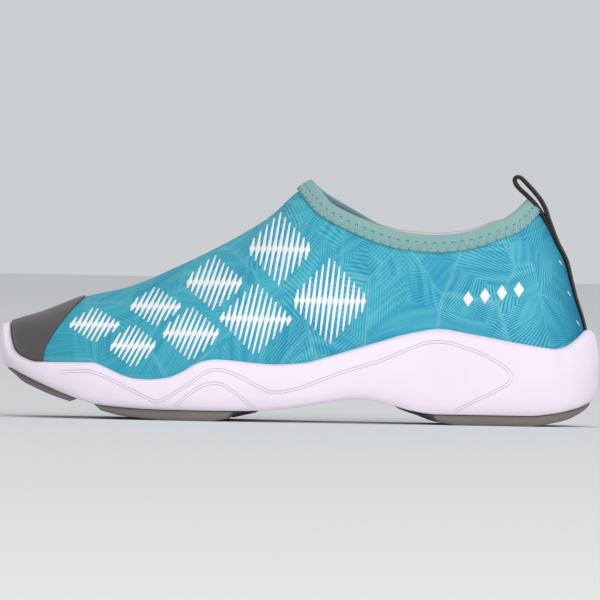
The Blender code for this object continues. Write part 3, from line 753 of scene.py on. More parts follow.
def running_length(points):
    """The length along a line up to each of its points."""
    steps = np.linalg.norm(np.diff(points, axis=0), axis=1)
    return np.concatenate([[0], np.cumsum(steps)])


def smooth_through(knots, values, places):
    """A smooth line through values at knots, read at places."""
    fine = np.interp(places, knots, values)
    kernel = np.array([1, 4, 6, 4, 1]) / 16
    for _ in range(3):
        padded = np.concatenate([[fine[0]] * 2, fine, [fine[-1]] * 2])
        fine = np.convolve(padded, kernel, "valid")
    return fine


def skin_normal(theta, v):
    """The outward direction of the last's skin."""
    step, climb = 0.01, 0.01
    along = skin(theta + step, v) - skin(theta - step, v)
    up = skin(theta, np.minimum(v + climb, 1)) - skin(theta, np.maximum(v - climb, 0))
    return unit(np.cross(along, up))


def climb_to(theta, height_at):
    """How far up its column the skin reaches a height that depends on the place along the shoe."""
    low = np.zeros(np.shape(theta))
    high = np.ones(np.shape(theta))
    for _ in range(26):
        middle = (low + high) / 2
        point = skin(theta, middle)
        under = point[..., 2] < height_at(share_of(point[..., 0]))
        low = np.where(under, middle, low)
        high = np.where(under, high, middle)
    return (low + high) / 2


def flank(at, climb, side):
    """A point of the last's skin by its place along the shoe and its climb from footbed to ridge."""
    height = mix(feather(at), roof(at), climb)
    return np.stack([x_of(at), skin_y(at, height, side), height], axis=-1)


def flank_normal(at, climb, side):
    step = 0.003
    along = flank(at + step, climb, side) - flank(at - step, climb, side)
    up = flank(at, np.minimum(climb + step, 0.9999), side) - flank(at, climb - step, side)
    return unit(np.cross(along, up)) * -side


def to_linear(code):
    """An sRGB hex code as the linear colour that a shader reads."""
    channels = [int(code[i : i + 2], 16) / 255 for i in (0, 2, 4)]
    return (*[c / 12.92 if c <= 0.04045 else ((c + 0.055) / 1.055) ** 2.4 for c in channels], 1)


def feed(tree, node, links):
    """Gives a node's inputs each a value or the socket that feeds it."""
    for key, value in links.items():
        if isinstance(value, bpy.types.NodeSocket):
            tree.links.new(value, node.inputs[key])
        else:
            node.inputs[key].default_value = value


def start_material(name, finish):
    """A new Principled material with its constants on the shader's own sockets."""
    material = bpy.data.materials.new(name)
    material.use_nodes = True
    shader = material.node_tree.nodes["Principled BSDF"]
    feed(material.node_tree, shader, finish)
    return material, material.node_tree, shader


def add_node(tree, kind, links, out=0, **settings):
    """Adds a node with its settings and inputs, and returns one of its outputs."""
    node = tree.nodes.new("ShaderNode" + kind)
    for name, value in settings.items():
        setattr(node, name, value)
    feed(tree, node, links)
    return node.outputs[out]


def add_sheet(bm, places, maps=None):
    """Adds a sheet of quads through places[column, row], with coordinates for its UV maps."""
    columns, rows = places.shape[0] - 1, places.shape[1] - 1
    made = bmesh.ops.create_grid(bm, x_segments=columns, y_segments=rows, size=0.5)["verts"]
    flat = np.array([vert.co[:2] for vert in made]) + 0.5
    column = np.rint(flat[:, 0] * columns).astype(int)
    row = np.rint(flat[:, 1] * rows).astype(int)
    for vert, place in zip(made, places[column, row]):
        vert.co = place
    bm.verts.index_update()
    for label, values in (maps or {}).items():
        layer = bm.loops.layers.uv.new(label)
        at_vert = values[column, row]
        for face in bm.faces:
            for loop in face.loops:
                loop[layer].uv = at_vert[loop.vert.index]


def finish_piece(name, bm, materials, replaces=(), closed=True):
    """Merges the seams, points the faces outwards and puts the piece on the shoe's one body."""
    bmesh.ops.remove_doubles(bm, verts=bm.verts, dist=MERGE_DISTANCE)
    bmesh.ops.dissolve_degenerate(bm, edges=bm.edges, dist=MERGE_DISTANCE / 2)
    if closed:
        bmesh.ops.recalc_face_normals(bm, faces=bm.faces)
    mesh = bpy.data.meshes.new(name)
    bm.to_mesh(mesh)
    bm.free()
    for material in materials:
        mesh.materials.append(material)
    mesh.shade_smooth()
    piece = bpy.data.objects.new(name, mesh)
    bpy.context.scene.collection.objects.link(piece)
    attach(piece, BODY)
    if replaces:
        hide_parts(*replaces)
    return piece


def thicken(piece, thickness, offset, inner_material=0):
    """Gives a sheet its wall, inwards at an offset of -1 and outwards at 1."""
    wall = piece.modifiers.new("wall", "SOLIDIFY")
    wall.thickness = thickness
    wall.offset = offset
    wall.material_offset = inner_material
    wall.use_even_offset = True


# How the cloth lies flat: each section's length from the footbed to the ridge, and where the wrap
# round the heel starts, as a share of the way to the heel's back line
HEEL_WRAP = 0.88
CLOTH_ATS = np.linspace(0, 1, 300)
CLOTH_CLIMBS = 1 - (1 - np.linspace(0, 1, 400)) ** 2


def cloth_lengths():
    """The cloth's length up from the footbed, for each place along the shoe and each climb."""
    at, climb = np.meshgrid(CLOTH_ATS, CLOTH_CLIMBS, indexing="ij")
    height = mix(feather(at), roof(at), climb)
    out = last_half_width(at) * np.sqrt(1 - climb ** ridge_dome(at))
    steps = np.hypot(np.diff(height, axis=1), np.diff(out, axis=1))
    return np.concatenate([np.zeros((len(CLOTH_ATS), 1)), np.cumsum(steps, axis=1)], axis=1)


CLOTH_LENGTHS = cloth_lengths()


def cloth_rise(at, climb):
    """The cloth's length from the footbed up to a climb, in metres."""
    column = np.clip(at, 0, 1) * (len(CLOTH_ATS) - 1)
    low = np.minimum(column.astype(int), len(CLOTH_ATS) - 2)
    row = (1 - np.sqrt(1 - np.clip(climb, 0, 1))) * (len(CLOTH_CLIMBS) - 1)
    under = np.minimum(row.astype(int), len(CLOTH_CLIMBS) - 2)
    across, up = column - low, row - under
    first = mix(CLOTH_LENGTHS[low, under], CLOTH_LENGTHS[low, under + 1], up)
    second = mix(CLOTH_LENGTHS[low + 1, under], CLOTH_LENGTHS[low + 1, under + 1], up)
    return mix(first, second, across)


def cloth_map(places, side):
    """Flat cloth coordinates in metres: along the shoe, and away from the ridge on each side."""
    at = share_of(places[..., 0])
    height = places[..., 2]
    climb = np.clip(climb_at(at, height), 0, 1)
    ridge = cloth_rise(at, np.ones_like(at))
    tail = np.clip((at / heel_back(height) - HEEL_WRAP) / (1 - HEEL_WRAP), 0, 1)
    along = at * SOLE_LENGTH + HEEL_ROUND * (np.arcsin(tail) - tail)
    return np.stack([along, side * (ridge - cloth_rise(at, climb))], axis=-1)


def crease_depth(at, height, side):
    """How far the cloth stands off the last at its soft creases."""
    depth = np.zeros(np.shape(at))
    here = np.stack([at * SOLE_LENGTH, height], axis=-1)
    for crease_side, start, end, width, amount in CREASES:
        first = np.array([start[0] * SOLE_LENGTH, start[1]])
        run = np.array([end[0] * SOLE_LENGTH, end[1]]) - first
        length = np.linalg.norm(run)
        along = (here - first) @ run / length**2
        off = (here - first) @ np.array([-run[1], run[0]]) / length / width
        fade = np.exp(-(((along - 0.5) / 0.45) ** 4)) * (side == crease_side)
        depth += amount * fade * (1.6 * np.exp(-(off**2)) - np.exp(-((off / 1.9) ** 2)))
    return depth


def build_upper(fabric, lining, film):
    """The knitted bootie, with soft creases and its pale lining inside. Under the toe cap it is
    faced with the film, so that none of the cloth shows round the cap's edge."""
    columns, rows = 368, 76
    theta = np.linspace(0, FULL_TURN, columns + 1)[:, None]
    v = np.linspace(0, 1, rows + 1)[None, :]
    places = skin(theta, v)
    side = np.where(theta % FULL_TURN < math.pi, LATERAL, MEDIAL) + 0 * v
    side[-1] = MEDIAL
    cloth = cloth_map(places, side)
    depth = crease_depth(share_of(places[..., 0]), places[..., 2], side)
    places = places + skin_normal(theta, v) * depth[..., None]
    bm = bmesh.new()
    add_sheet(bm, places, {"cloth": cloth})
    for face in bm.faces:
        middle = face.calc_center_median()
        at = share_of(middle.x)
        climb = np.clip(climb_at(at, middle.z), 0, 1)
        if at < cap_edge_at(climb) - FILM_SETBACK:
            face.material_index = 2
    # The film is third, so that the faces under it get the lining after it on their inside
    faces_out_and_in = [fabric, lining, film, lining]
    piece = finish_piece("upper_shell", bm, faces_out_and_in, ["upper"])
    thicken(piece, UPPER_WALL, -1, 1)


def on_cloth(at, height, side, lift):
    """Points just off the cloth on one flank."""
    climb = climb_at(at, height)
    normal = flank_normal(at, climb, side)
    return flank(at, climb, side) + normal * (crease_depth(at, height, side) + lift)[..., None]


def diamond_bars(at, height, half_along, half_up):
    """One diamond of slanted tapering bars that run together on its middle line."""
    slant = math.radians(mix(*BAR_SLANT, ease((at - 0.20) / 0.35)))
    across, up = math.cos(slant), math.sin(slant)
    count = int(2 * half_along / BAR_PITCH)
    rows = np.linspace(-1, 1, 15)
    sheets = []
    for i in range(count):
        offset = (i - (count - 1) / 2) * BAR_PITCH
        steps = np.linspace(0, 2 * half_up, 400)
        ends = []
        for turn in (-1, 1):
            x, z = offset + turn * steps * across, turn * steps * up
            inside = np.abs(x) / half_along + np.abs(z) / half_up <= 1
            ends.append(steps[inside].max() if inside.any() else 0)
        if sum(ends) < SHORTEST_BAR:
            continue
        t = np.where(rows < 0, rows * ends[0], rows * ends[1])
        band = np.exp(-((t * up / BAR_BAND) ** 2))
        swell = BAR_SWELL * band * (1 - np.abs(rows))
        width = BAR_PITCH * (BAR_WIDTH - BAR_TAPER * np.abs(rows) + swell)
        sheets.append((offset, t, width, across, up))
    return sheets


def build_print(film):
    """The white print: diamonds of bars over the forefoot and a row of small diamonds behind."""
    bm = bmesh.new()
    for side in (LATERAL, MEDIAL):
        for at, height, half_along, half_up in DIAMONDS:
            for offset, t, width, across, up in diamond_bars(at, height, half_along, half_up):
                edge = np.linspace(-0.5, 0.5, 4)[:, None] * width[None]
                x = at * SOLE_LENGTH + offset + t[None] * across + edge
                z = height + t[None] * up + 0 * edge
                add_sheet(bm, on_cloth(x / SOLE_LENGTH, z, side, PRINT_LIFT))
        for at, height in SMALL_DIAMONDS:
            u, w = np.meshgrid(np.linspace(0, 1, 7), np.linspace(0, 1, 7), indexing="ij")
            x = at * SOLE_LENGTH + (u - w) * SMALL_DIAMOND[0]
            z = height + (u + w - 1) * SMALL_DIAMOND[1]
            add_sheet(bm, on_cloth(x / SOLE_LENGTH, z, side, PRINT_LIFT))
    for face in bm.faces:
        face.normal_update()
        if face.normal.y * (face.calc_center_median().y - SHIFT_Y) < 0:
            face.normal_flip()
    piece = finish_piece("white_print", bm, [film], closed=False)
    thicken(piece, PRINT_THICKNESS, 1)


def build_toe_cap(film):
    """The film bonded over the toe, from the foam's bumper up to the ridge and back to its edge."""
    around, back = 96, 44
    i = np.linspace(-1, 1, around + 1)[:, None]
    j = np.linspace(0, 1, back + 1)[None, :]
    side = np.where(i <= 0, LATERAL, MEDIAL) + 0 * j
    climb = np.sin(math.pi / 2 * (1 - np.abs(i))) + 0 * j
    front = TOE_AT + CAP_FRONT / SOLE_LENGTH
    at = mix(front, cap_edge_at(climb), j**1.7)
    ledge = rim(np.maximum(at - CAP_SETBACK / SOLE_LENGTH, TOE_AT))
    height = mix(np.minimum(ledge, roof(at) - 2 * FIT) + FIT / 2, roof(at), climb)
    places = np.stack([x_of(at), skin_y(at, height, side), height], axis=-1)
    along = np.gradient(places, axis=1)
    across = np.gradient(places, axis=0)
    normals = unit(np.cross(across, along))
    normals *= np.sign(normals[..., 2:3] + 1e-9)
    places = places + normals * (FIT / 2)
    bm = bmesh.new()
    add_sheet(bm, places)
    piece = finish_piece("toe_cap_film", bm, [film], ["toe_cap"])
    thicken(piece, TOE_CAP_THICKNESS, 1)
    rounding = piece.modifiers.new("edge", "BEVEL")
    rounding.width = CAP_ROUNDING
    rounding.segments = 2
    rounding.limit_method = "ANGLE"
    rounding.angle_limit = math.radians(50)


def collar_frames(theta):
    """The collar edge's points with their outward and upward directions."""
    edge = skin(theta, 1.0)
    along = unit(skin(theta + 0.01, 1.0) - skin(theta - 0.01, 1.0))
    outward = skin_normal(theta, 0.99)
    upward = unit(np.cross(along, outward))
    flip = np.sign(np.sum(upward * (edge - skin(theta, 0.97)), axis=-1, keepdims=True))
    return edge, outward, upward * flip


def binding_foot(theta):
    """How far up its column the binding's lower edge lies."""
    line = skin(np.linspace(0, FULL_TURN, 600), 1.0)
    low, high = np.full(theta.shape, 0.3), np.ones(theta.shape)
    for _ in range(22):
        middle = (low + high) / 2
        point = skin(theta, middle)
        near = np.min(np.linalg.norm(point[:, None] - line[None], axis=-1), axis=1)
        under = near > BINDING_WIDTH
        low = np.where(under, middle, low)
        high = np.where(under, high, middle)
    return (low + high) / 2


def binding_path(theta, foot, drop, lift):
    """Points on the binding at a drop below the collar's edge (1 is its lower edge)."""
    v = mix(1.0, foot, drop)
    return skin(theta, v) + skin_normal(theta, np.minimum(v, 0.99)) * lift


def binding_swell(drop):
    """How far the band's outer face stands off the cloth: it is fullest halfway down."""
    return BINDING_FAR * (1 + 0.12 * np.sin(math.pi * np.asarray(drop)))


def binding_section(theta, foot):
    """The rows of the folded band: up its outside, over the fold, down the inside of the shoe, and
    back up between the band and the cloth."""
    edge, outward, upward = collar_frames(theta)
    hem = ((1.0, BINDING_NEAR), (1.02, BINDING_FAR * 0.45), (1.0, BINDING_FAR * 0.85))
    face = [(drop, binding_swell(drop)) for drop in (0.93, 0.75, 0.5, 0.25)]
    back = [(drop, BINDING_FAR) for drop in (0.25, 0.5, 0.75, 0.93)]
    middle = -UPPER_WALL / 2
    rows = [binding_path(theta, foot, drop, lift) for drop, lift in (*hem, *face)]
    for turn in np.linspace(0, math.pi, 11):
        reach = middle + (UPPER_WALL / 2 + BINDING_FAR) * math.cos(turn)
        rows.append(edge + outward * reach + upward * BINDING_FAR * math.sin(turn) ** 0.8)
    for drop, lift in (*back, *hem[::-1]):
        rows.append(binding_path(theta, foot, drop, -(UPPER_WALL + lift)))
    for turn in np.linspace(math.pi, 0, 5):
        reach = middle + (UPPER_WALL / 2 + BINDING_NEAR) * math.cos(turn)
        rows.append(edge + outward * reach + upward * BINDING_NEAR * math.sin(turn))
    return np.stack([*rows, rows[0]], axis=1)


def build_cover_stitch(name, turn, turns, feet, thread, dark):
    """The zigzag thread on one face of the band, outside (1) or inside (-1), with its holes."""
    low = np.arange(len(turns)) % 2
    drops = np.where(low, STITCH_LOW_ROW, STITCH_HIGH_ROW)
    lift = binding_swell(drops) if turn > 0 else UPPER_WALL + BINDING_FAR + 0 * drops
    lift = (lift[:, None] + THREAD_LIFT) * turn
    normals = skin_normal(turns, 0.97) * turn
    corners = binding_path(turns, feet, drops, lift)
    following = np.roll(corners, -1, axis=0)
    knots = [corners - normals * THREAD_SINK, mix(corners, following, 0.15)]
    knots.append(mix(corners, following, 0.85))
    line = np.stack(knots, axis=1).reshape(-1, 3)
    curve = bpy.data.curves.new(f"binding_stitch_{name}", "CURVE")
    curve.dimensions = "3D"
    curve.bevel_depth = THREAD_RADIUS
    curve.bevel_resolution = 2
    spline = curve.splines.new("POLY")
    spline.points.add(len(line) - 1)
    spline.points.foreach_set("co", np.column_stack([line, np.ones(len(line))]).ravel())
    spline.use_cyclic_u = True
    curve.materials.append(thread)
    stitch = bpy.data.objects.new(f"binding_stitch_{name}", curve)
    bpy.context.scene.collection.objects.link(stitch)
    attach(stitch, BODY)
    holes = bmesh.new()
    spots = binding_path(turns, feet, drops, lift - HOLE_DROP * turn)
    for spot, out, radius in zip(spots, normals, np.where(low, HOLE_LOW, HOLE_HIGH)):
        pose = Vector(out).to_track_quat("Z", "Y").to_matrix().to_4x4()
        pose.translation = Vector(spot)
        bmesh.ops.create_circle(
            holes, cap_ends=True, segments=8, radius=float(radius), matrix=pose
        )
    finish_piece(f"needle_holes_{name}", holes, [dark], closed=False)


def build_binding(band, facing, thread, dark):
    """The folded stretch binding, gathered softly by its zigzag stitch, with the facing inside."""
    theta = np.linspace(0, FULL_TURN, 421)
    foot = binding_foot(theta)
    places = binding_section(theta, foot)
    run = running_length(skin(theta, 1.0))
    stitches = round(run[-1] / STITCH_PITCH)
    gather = PUCKER * np.cos(run / run[-1] * stitches * FULL_TURN)
    for row, share in ((2, 0.6), (3, 1.0), (4, 1.0), (5, 0.9), (6, 0.4)):
        places[:, row] += skin_normal(theta, 0.97) * (gather * share)[:, None]
    down = running_length(places[0])
    # The facing starts at the row just inside the crest of the fold
    crest_row = 13
    bm = bmesh.new()
    add_sheet(bm, places, {"cloth": np.stack(np.meshgrid(run, down, indexing="ij"), axis=-1)})
    layer = bm.loops.layers.uv["cloth"]
    for face in bm.faces:
        if min(loop[layer].uv.y for loop in face.loops) > down[crest_row]:
            face.material_index = 1
    finish_piece("collar_band", bm, [band, facing], ["collar_binding"])
    turns = np.interp(np.linspace(0, run[-1], stitches * 2, endpoint=False), run, theta)
    feet = np.interp(turns, theta, foot)
    for name, turn in (("outer", 1), ("inner", -1)):
        build_cover_stitch(name, turn, turns, feet, thread, dark)


def tape_knots():
    """The tape's middle line in side view and its thickness: up the heel, then TAPE_PATH."""
    low = rim(heel_back(SIDEWALL_HEIGHT)) - TAPE_TUCK
    heights = np.linspace(low, TAPE_PATH_HEIGHT, 30)
    probe = 0.001
    rise = heel_back(heights + probe) - heel_back(heights - probe)
    slope = rise * SOLE_LENGTH / (2 * probe)
    thick = mix(TAPE_THIN, TAPE_THICK, ease((heights - TAPE_SWELL_HEIGHT) / TAPE_SWELL_LENGTH))
    heel_x = x_of(heel_back(heights)) + (FIT + thick / 2) * np.hypot(1, slope)
    top = np.array(TAPE_PATH)
    top[:, 0] = x_of(top[:, 0])
    return np.vstack([np.column_stack([heel_x, heights, thick]), top])


def build_tape(webbing):
    """The woven heel tape: one strip up the heel, round the pull loop and back behind itself."""
    knots = tape_knots()
    run = running_length(knots[:, :2])
    steps = np.linspace(0, run[-1], 190)
    path = np.column_stack([smooth_through(run, knots[:, k], steps) for k in range(3)])
    ahead = unit(np.gradient(path[:, :2], axis=0))
    side_way = np.column_stack([ahead[:, 1], -ahead[:, 0]])
    across = np.linspace(-1, 1, 25)
    y = across * TAPE_WIDTH / 2
    bend = HEEL_ROUND * (1 - np.sqrt(1 - (2 * y / HEEL_WIDTH) ** 2))
    plump = np.sqrt(np.clip(1 - np.abs(across) ** 12, 0.05, 1))
    faces = []
    for sign in (1, -1):
        half = path[:, None, 2] / 2 * plump[None] * sign
        x = path[:, None, 0] + side_way[:, None, 0] * half - bend[None]
        z = path[:, None, 1] + side_way[:, None, 1] * half
        faces.append(np.stack([x, y[None] + SHIFT_Y + 0 * x, z], axis=-1))
    places = np.concatenate([faces[0], faces[1][:, ::-1], faces[0][:, :1]], axis=1)
    width = np.concatenate([y, y[::-1], y[:1]])
    bm = bmesh.new()
    add_sheet(bm, places, {"cloth": np.stack(np.meshgrid(steps, width, indexing="ij"), axis=-1)})
    bmesh.ops.remove_doubles(bm, verts=bm.verts, dist=MERGE_DISTANCE)
    bmesh.ops.holes_fill(bm, edges=[edge for edge in bm.edges if edge.is_boundary], sides=0)
    finish_piece("heel_webbing", bm, [webbing], ["heel_tape"])


def cup_points(theta, height):
    """The inner face of the foam cup at given heights: the skin there plus the clearance."""
    v = np.where(height <= skin(theta, 0.0)[..., 2], 0, climb_to(theta, lambda at: height))
    point = skin(theta, v) + skin_normal(theta, v) * CUP_FIT
    point[..., 2] = height
    return point


def wall_points(theta, rise, reach):
    """Points of the foam wall's outer side, at shares of its height and of its reach."""
    theta, rise, reach = np.broadcast_arrays(theta, rise, reach)
    top = skin(theta, climb_to(theta, rim))[..., 2]
    bottom = underside(share_of(skin(theta, 0.0)[..., 0]))
    base = cup_points(theta, mix(bottom, top, rise))
    at = share_of(base[..., 0])
    tuck = 1 - plan_tuck(at) * (1 - rise) ** 2
    outward = skin_normal(theta, 0.02)
    outward[..., 2] = 0
    point = base + unit(outward) * (SIDE_WALL * plan_wall(at) * reach * tuck)[..., None]
    point[..., 2] = np.where(rise == 0, underside(share_of(point[..., 0])), point[..., 2])
    return point


def centre_points(theta, height_at):
    """Points of the middle line, the same for both sides."""
    at = mix(TOE_AT, heel_back(HEEL_STACK), (1 - np.cos(theta)) / 2)
    y = last_half_width(at) * plan_centre(at) + SHIFT_Y
    return np.stack([x_of(at), y, height_at(at)], axis=-1)


def build_foam(foam):
    """The moulded foam cup with its rolled rim, toe bumper, heel tab and a soft dent at the heel."""
    theta = np.linspace(0, FULL_TURN, 561)
    rows = []
    middle = centre_points(theta, underside)
    foot = wall_points(theta, 0.0, wall_reach(0.0))
    for share in (0, 0.3, 0.6, 0.85, 0.96):
        point = mix(middle, foot, share)
        point[..., 2] = underside(share_of(point[..., 0]))
        rows.append(point)
    for rise in (*np.linspace(0, WALL_FOOT, 5)[:-1], *np.linspace(WALL_FOOT, RIM_START, 26)):
        rows.append(wall_points(theta, rise, wall_reach(rise)))
    lip = float(wall_reach(RIM_START))
    for turn in np.linspace(0, math.pi / 2, 8)[1:]:
        rise = mix(RIM_START, 1.0, math.sin(turn))
        rows.append(wall_points(theta, rise, lip * math.cos(turn) ** 0.9))
    rim_v = climb_to(theta, rim)
    for share in (0.75, 0.5, 0.25, 0.0):
        rows.append(skin(theta, rim_v * share) + skin_normal(theta, rim_v * share) * CUP_FIT)
    rows[-1][..., 2] = footbed(share_of(rows[-1][..., 0]))
    centre = centre_points(theta, footbed)
    floor_edge = rows[-1]
    for share in (0.5, 1.0):
        point = mix(floor_edge, centre, share)
        point[..., 2] = footbed(share_of(point[..., 0]))
        rows.append(point)
    places = np.stack(rows, axis=1)
    along = (share_of(places[..., 0]) - HEEL_DENT_AT) * SOLE_LENGTH / HEEL_DENT_SIZE[0]
    up = (places[..., 2] - HEEL_DENT_HEIGHT) / HEEL_DENT_SIZE[1]
    dent = np.exp(-(along**2)) * np.exp(-(up**4)) * (places[..., 1] < 0)
    outward = skin_normal(theta, 0.02)[:, None]
    places = places - outward * (HEEL_DENT * dent)[..., None]
    bm = bmesh.new()
    add_sheet(bm, places)
    return finish_piece("foam_cup", bm, [foam], ["midsole"])


def hairline_rings(face, line, size, side):
    """Small rings along one moulded line, half sunk into the foam's face on one flank."""
    around = np.linspace(0, FULL_TURN, 7)
    inwards, outside = Vector((0, -side, 0)), side * MOULD_PROBE
    rings = []
    for (x, z), radius in zip(line, size):
        spot, out, *_ = face.ray_cast(Vector((x, outside, z)), inwards)
        if spot is not None:
            up = unit(np.cross(np.array(out), (1.0, 0.0, 0.0)))
            ring = np.cos(around)[:, None] * np.array(out) + np.sin(around)[:, None] * up
            rings.append(np.array(spot - out * MOULD_SINK) + ring * radius)
    return np.array(rings)


def build_mould_lines(cup, foam):
    """The fine double line moulded along both sides of the foam."""
    bpy.context.view_layer.update()
    face = BVHTree.FromObject(cup, bpy.context.evaluated_depsgraph_get())
    bm = bmesh.new()
    for line, fade in ((MOULD_LINE, MOULD_LONG_FADE), (MOULD_ARCH, MOULD_FADE)):
        knots = np.array(line)
        knots[:, 0] = x_of(knots[:, 0])
        run = running_length(knots)
        steps = np.linspace(0, run[-1], int(run[-1] / MOULD_STEP))
        spine = np.column_stack([smooth_through(run, knots[:, k], steps) for k in (0, 1)])
        ahead = unit(np.gradient(spine, axis=0))
        aside = np.column_stack([-ahead[:, 1], ahead[:, 0]])
        size = MOULD_RADIUS * ease(np.minimum(steps / fade, (run[-1] - steps) / MOULD_FADE))
        for side in (LATERAL, MEDIAL):
            for offset in (-MOULD_GAP / 2, MOULD_GAP / 2):
                add_sheet(bm, hairline_rings(face, spine + aside * offset, size, side))
    finish_piece("moulded_lines", bm, [foam])


def build_sockliner(cloth):
    """The sockliner on the footbed, with a rounded edge."""
    theta = np.linspace(0, FULL_TURN, 241)
    rows = []
    for rise, inset in ((0.0, 0.0004), (0.15, 0.0), (0.75, 0.0), (0.95, 0.0004), (1.0, 0.0012)):
        lift = INSOLE_FIT + INSOLE_THICKNESS * rise
        v = climb_to(theta, lambda at, lift=lift: footbed(at) + lift)
        point = skin(theta, v) - skin_normal(theta, v) * (UPPER_WALL + INSOLE_SIDE_FIT + inset)
        point[..., 2] = footbed(share_of(point[..., 0])) + lift
        rows.append(point)
    low = centre_points(theta, lambda at: footbed(at) + INSOLE_FIT)
    high = centre_points(theta, lambda at: footbed(at) + INSOLE_FIT + INSOLE_THICKNESS)
    rows = [low, *rows]
    top_edge = rows[-1]
    for share in (0.3, 0.6, 1.0):
        point = mix(top_edge, high, share)
        point[..., 2] = footbed(share_of(point[..., 0])) + INSOLE_FIT + INSOLE_THICKNESS
        rows.append(point)
    bm = bmesh.new()
    add_sheet(bm, np.stack(rows, axis=1))
    finish_piece("sockliner", bm, [cloth], ["insole"])


def groove(off, width):
    """A cut's depth share across its width, with rounded lips and floor."""
    return ease((width / 2 - np.abs(off)) / (width * 0.22) + 0.5)


def pad_edges():
    """The foam's lower outline as share along the shoe and y, for each side."""
    theta = np.linspace(0, math.pi, 400)
    lines = {}
    for side, turns in ((LATERAL, theta), (MEDIAL, -theta)):
        points = wall_points(turns, 0.0, wall_reach(0.0))
        lines[side] = (share_of(points[:, 0]), points[:, 1])
    return lines


def zigzag_tread(at, y, inner, along, cuts):
    """The depth of the fine zigzag tread, which stops short of the pad's edge and of its bars."""
    wave = np.abs((y / ZIGZAG_LENGTH) % 1 - 0.5) * ZIGZAG_REACH
    off = ((at * SOLE_LENGTH + wave) / ZIGZAG_PITCH) % 1 * ZIGZAG_PITCH - ZIGZAG_PITCH / 2
    edge = ease((inner - ZIGZAG_MARGIN) / 0.001) * ease(along * (1 - along) / 0.02)
    at_bar = [np.exp(-(((at - cut) * SOLE_LENGTH / ZIGZAG_CLEARANCE) ** 4)) for cut in cuts]
    return groove(off, ZIGZAG_WIDTH) * ZIGZAG_DEPTH * edge * (1 - np.max(at_bar, axis=0))


def build_pad(name, shape, lines, rubber):
    """One rubber pad with its bars and a fine zigzag tread between them."""
    toe_end, heel_end = float(lines[LATERAL][0][0]), float(lines[LATERAL][0][-1])
    at_toe, at_heel = shape["start"][0] < TOE_AT, shape["end"][0] > heel_back(HEEL_STACK)
    columns = int((shape["end"][0] - shape["start"][0]) * SOLE_LENGTH / PAD_STEP)
    p = np.linspace(0, 1, columns + 1)[:, None]
    q = np.linspace(0, 1, 111)[None, :]
    tip = mix(0.2, 1.0, ease(p / 0.4)) if at_toe else 1.0

    def surface(inset, chamfer, drop, tread=False):
        start = mix(*shape["start"], q) + (0 if at_toe else chamfer / SOLE_LENGTH)
        end = mix(*shape["end"], q) - (0 if at_heel else chamfer / SOLE_LENGTH)
        along = p
        if at_toe:
            start, along = toe_end + inset / SOLE_LENGTH + 0 * q, p**1.6
        if at_heel:
            end, along = heel_end - inset / SOLE_LENGTH + 0 * q, 1 - (1 - p) ** 1.6
        at = mix(start, end, along)
        left = np.interp(at, *lines[LATERAL]) + inset
        right = np.interp(at, *lines[MEDIAL]) - inset
        middle = (left + right) / 2
        left, right = np.minimum(left, middle), np.maximum(right, middle)
        y = mix(left, right, q)
        depth_here = OUTSOLE_THICKNESS * under_rubber(at)
        height = underside(at) - FIT - (depth_here - FIT) * drop * tip
        if tread:
            inner = np.minimum(y - left, right - y)
            bars = [groove((at - cut) * SOLE_LENGTH, TREAD_WIDTH) for cut in shape["cuts"]]
            bars = np.max(bars, axis=0) * (inner > TREAD_MARGIN) * TREAD_DEPTH
            cut = np.maximum(bars, zigzag_tread(at, y, inner, p, shape["cuts"]))
            height = height + np.minimum(cut, depth_here * 0.6)
        return np.stack([x_of(at), y, height], axis=-1)

    top = surface(PAD_INSET, 0.0, 0.0)
    side = surface(PAD_INSET + PAD_DRAFT * 0.7, PAD_CHAMFER * 0.86, 0.88)
    bottom = surface(PAD_INSET + PAD_DRAFT + PAD_ROUNDING, PAD_CHAMFER, 1.0, tread=True)
    places = np.concatenate([top, side[:, -1:], bottom[:, ::-1], side[:, :1], top[:, :1]], axis=1)
    bm = bmesh.new()
    add_sheet(bm, places)
    for end in (0, -1):
        add_sheet(bm, np.stack([top[end], side[end], bottom[end]], axis=0))
    finish_piece(f"{name}_tread", bm, [rubber], [name])


def build_heel_stitches(thread):
    """Three short white stitches beside the heel tape, on both sides."""
    around = np.linspace(0, FULL_TURN, 9)[:, None, None]
    run = np.linspace(-1, 1, 9)
    radius = HEEL_STITCH_RADIUS * np.sqrt(np.clip(1 - run**4, 0, 1))
    bm = bmesh.new()
    for side in (LATERAL, MEDIAL):
        for height in HEEL_STITCHES:
            middle = heel_back(height) - HEEL_STITCH_INSET
            at = middle + run * HEEL_STITCH_LEAN
            spine = on_cloth(at, height - run * HEEL_STITCH_HALF, side, THREAD_LIFT / 2)
            normal = flank_normal(at, climb_at(middle, height), side)
            along = unit(np.gradient(spine, axis=0))
            ring = np.cos(around) * normal + np.sin(around) * unit(np.cross(normal, along))
            add_sheet(bm, spine[None] + ring * radius[None, :, None])
    finish_piece("heel_stitches", bm, [thread])


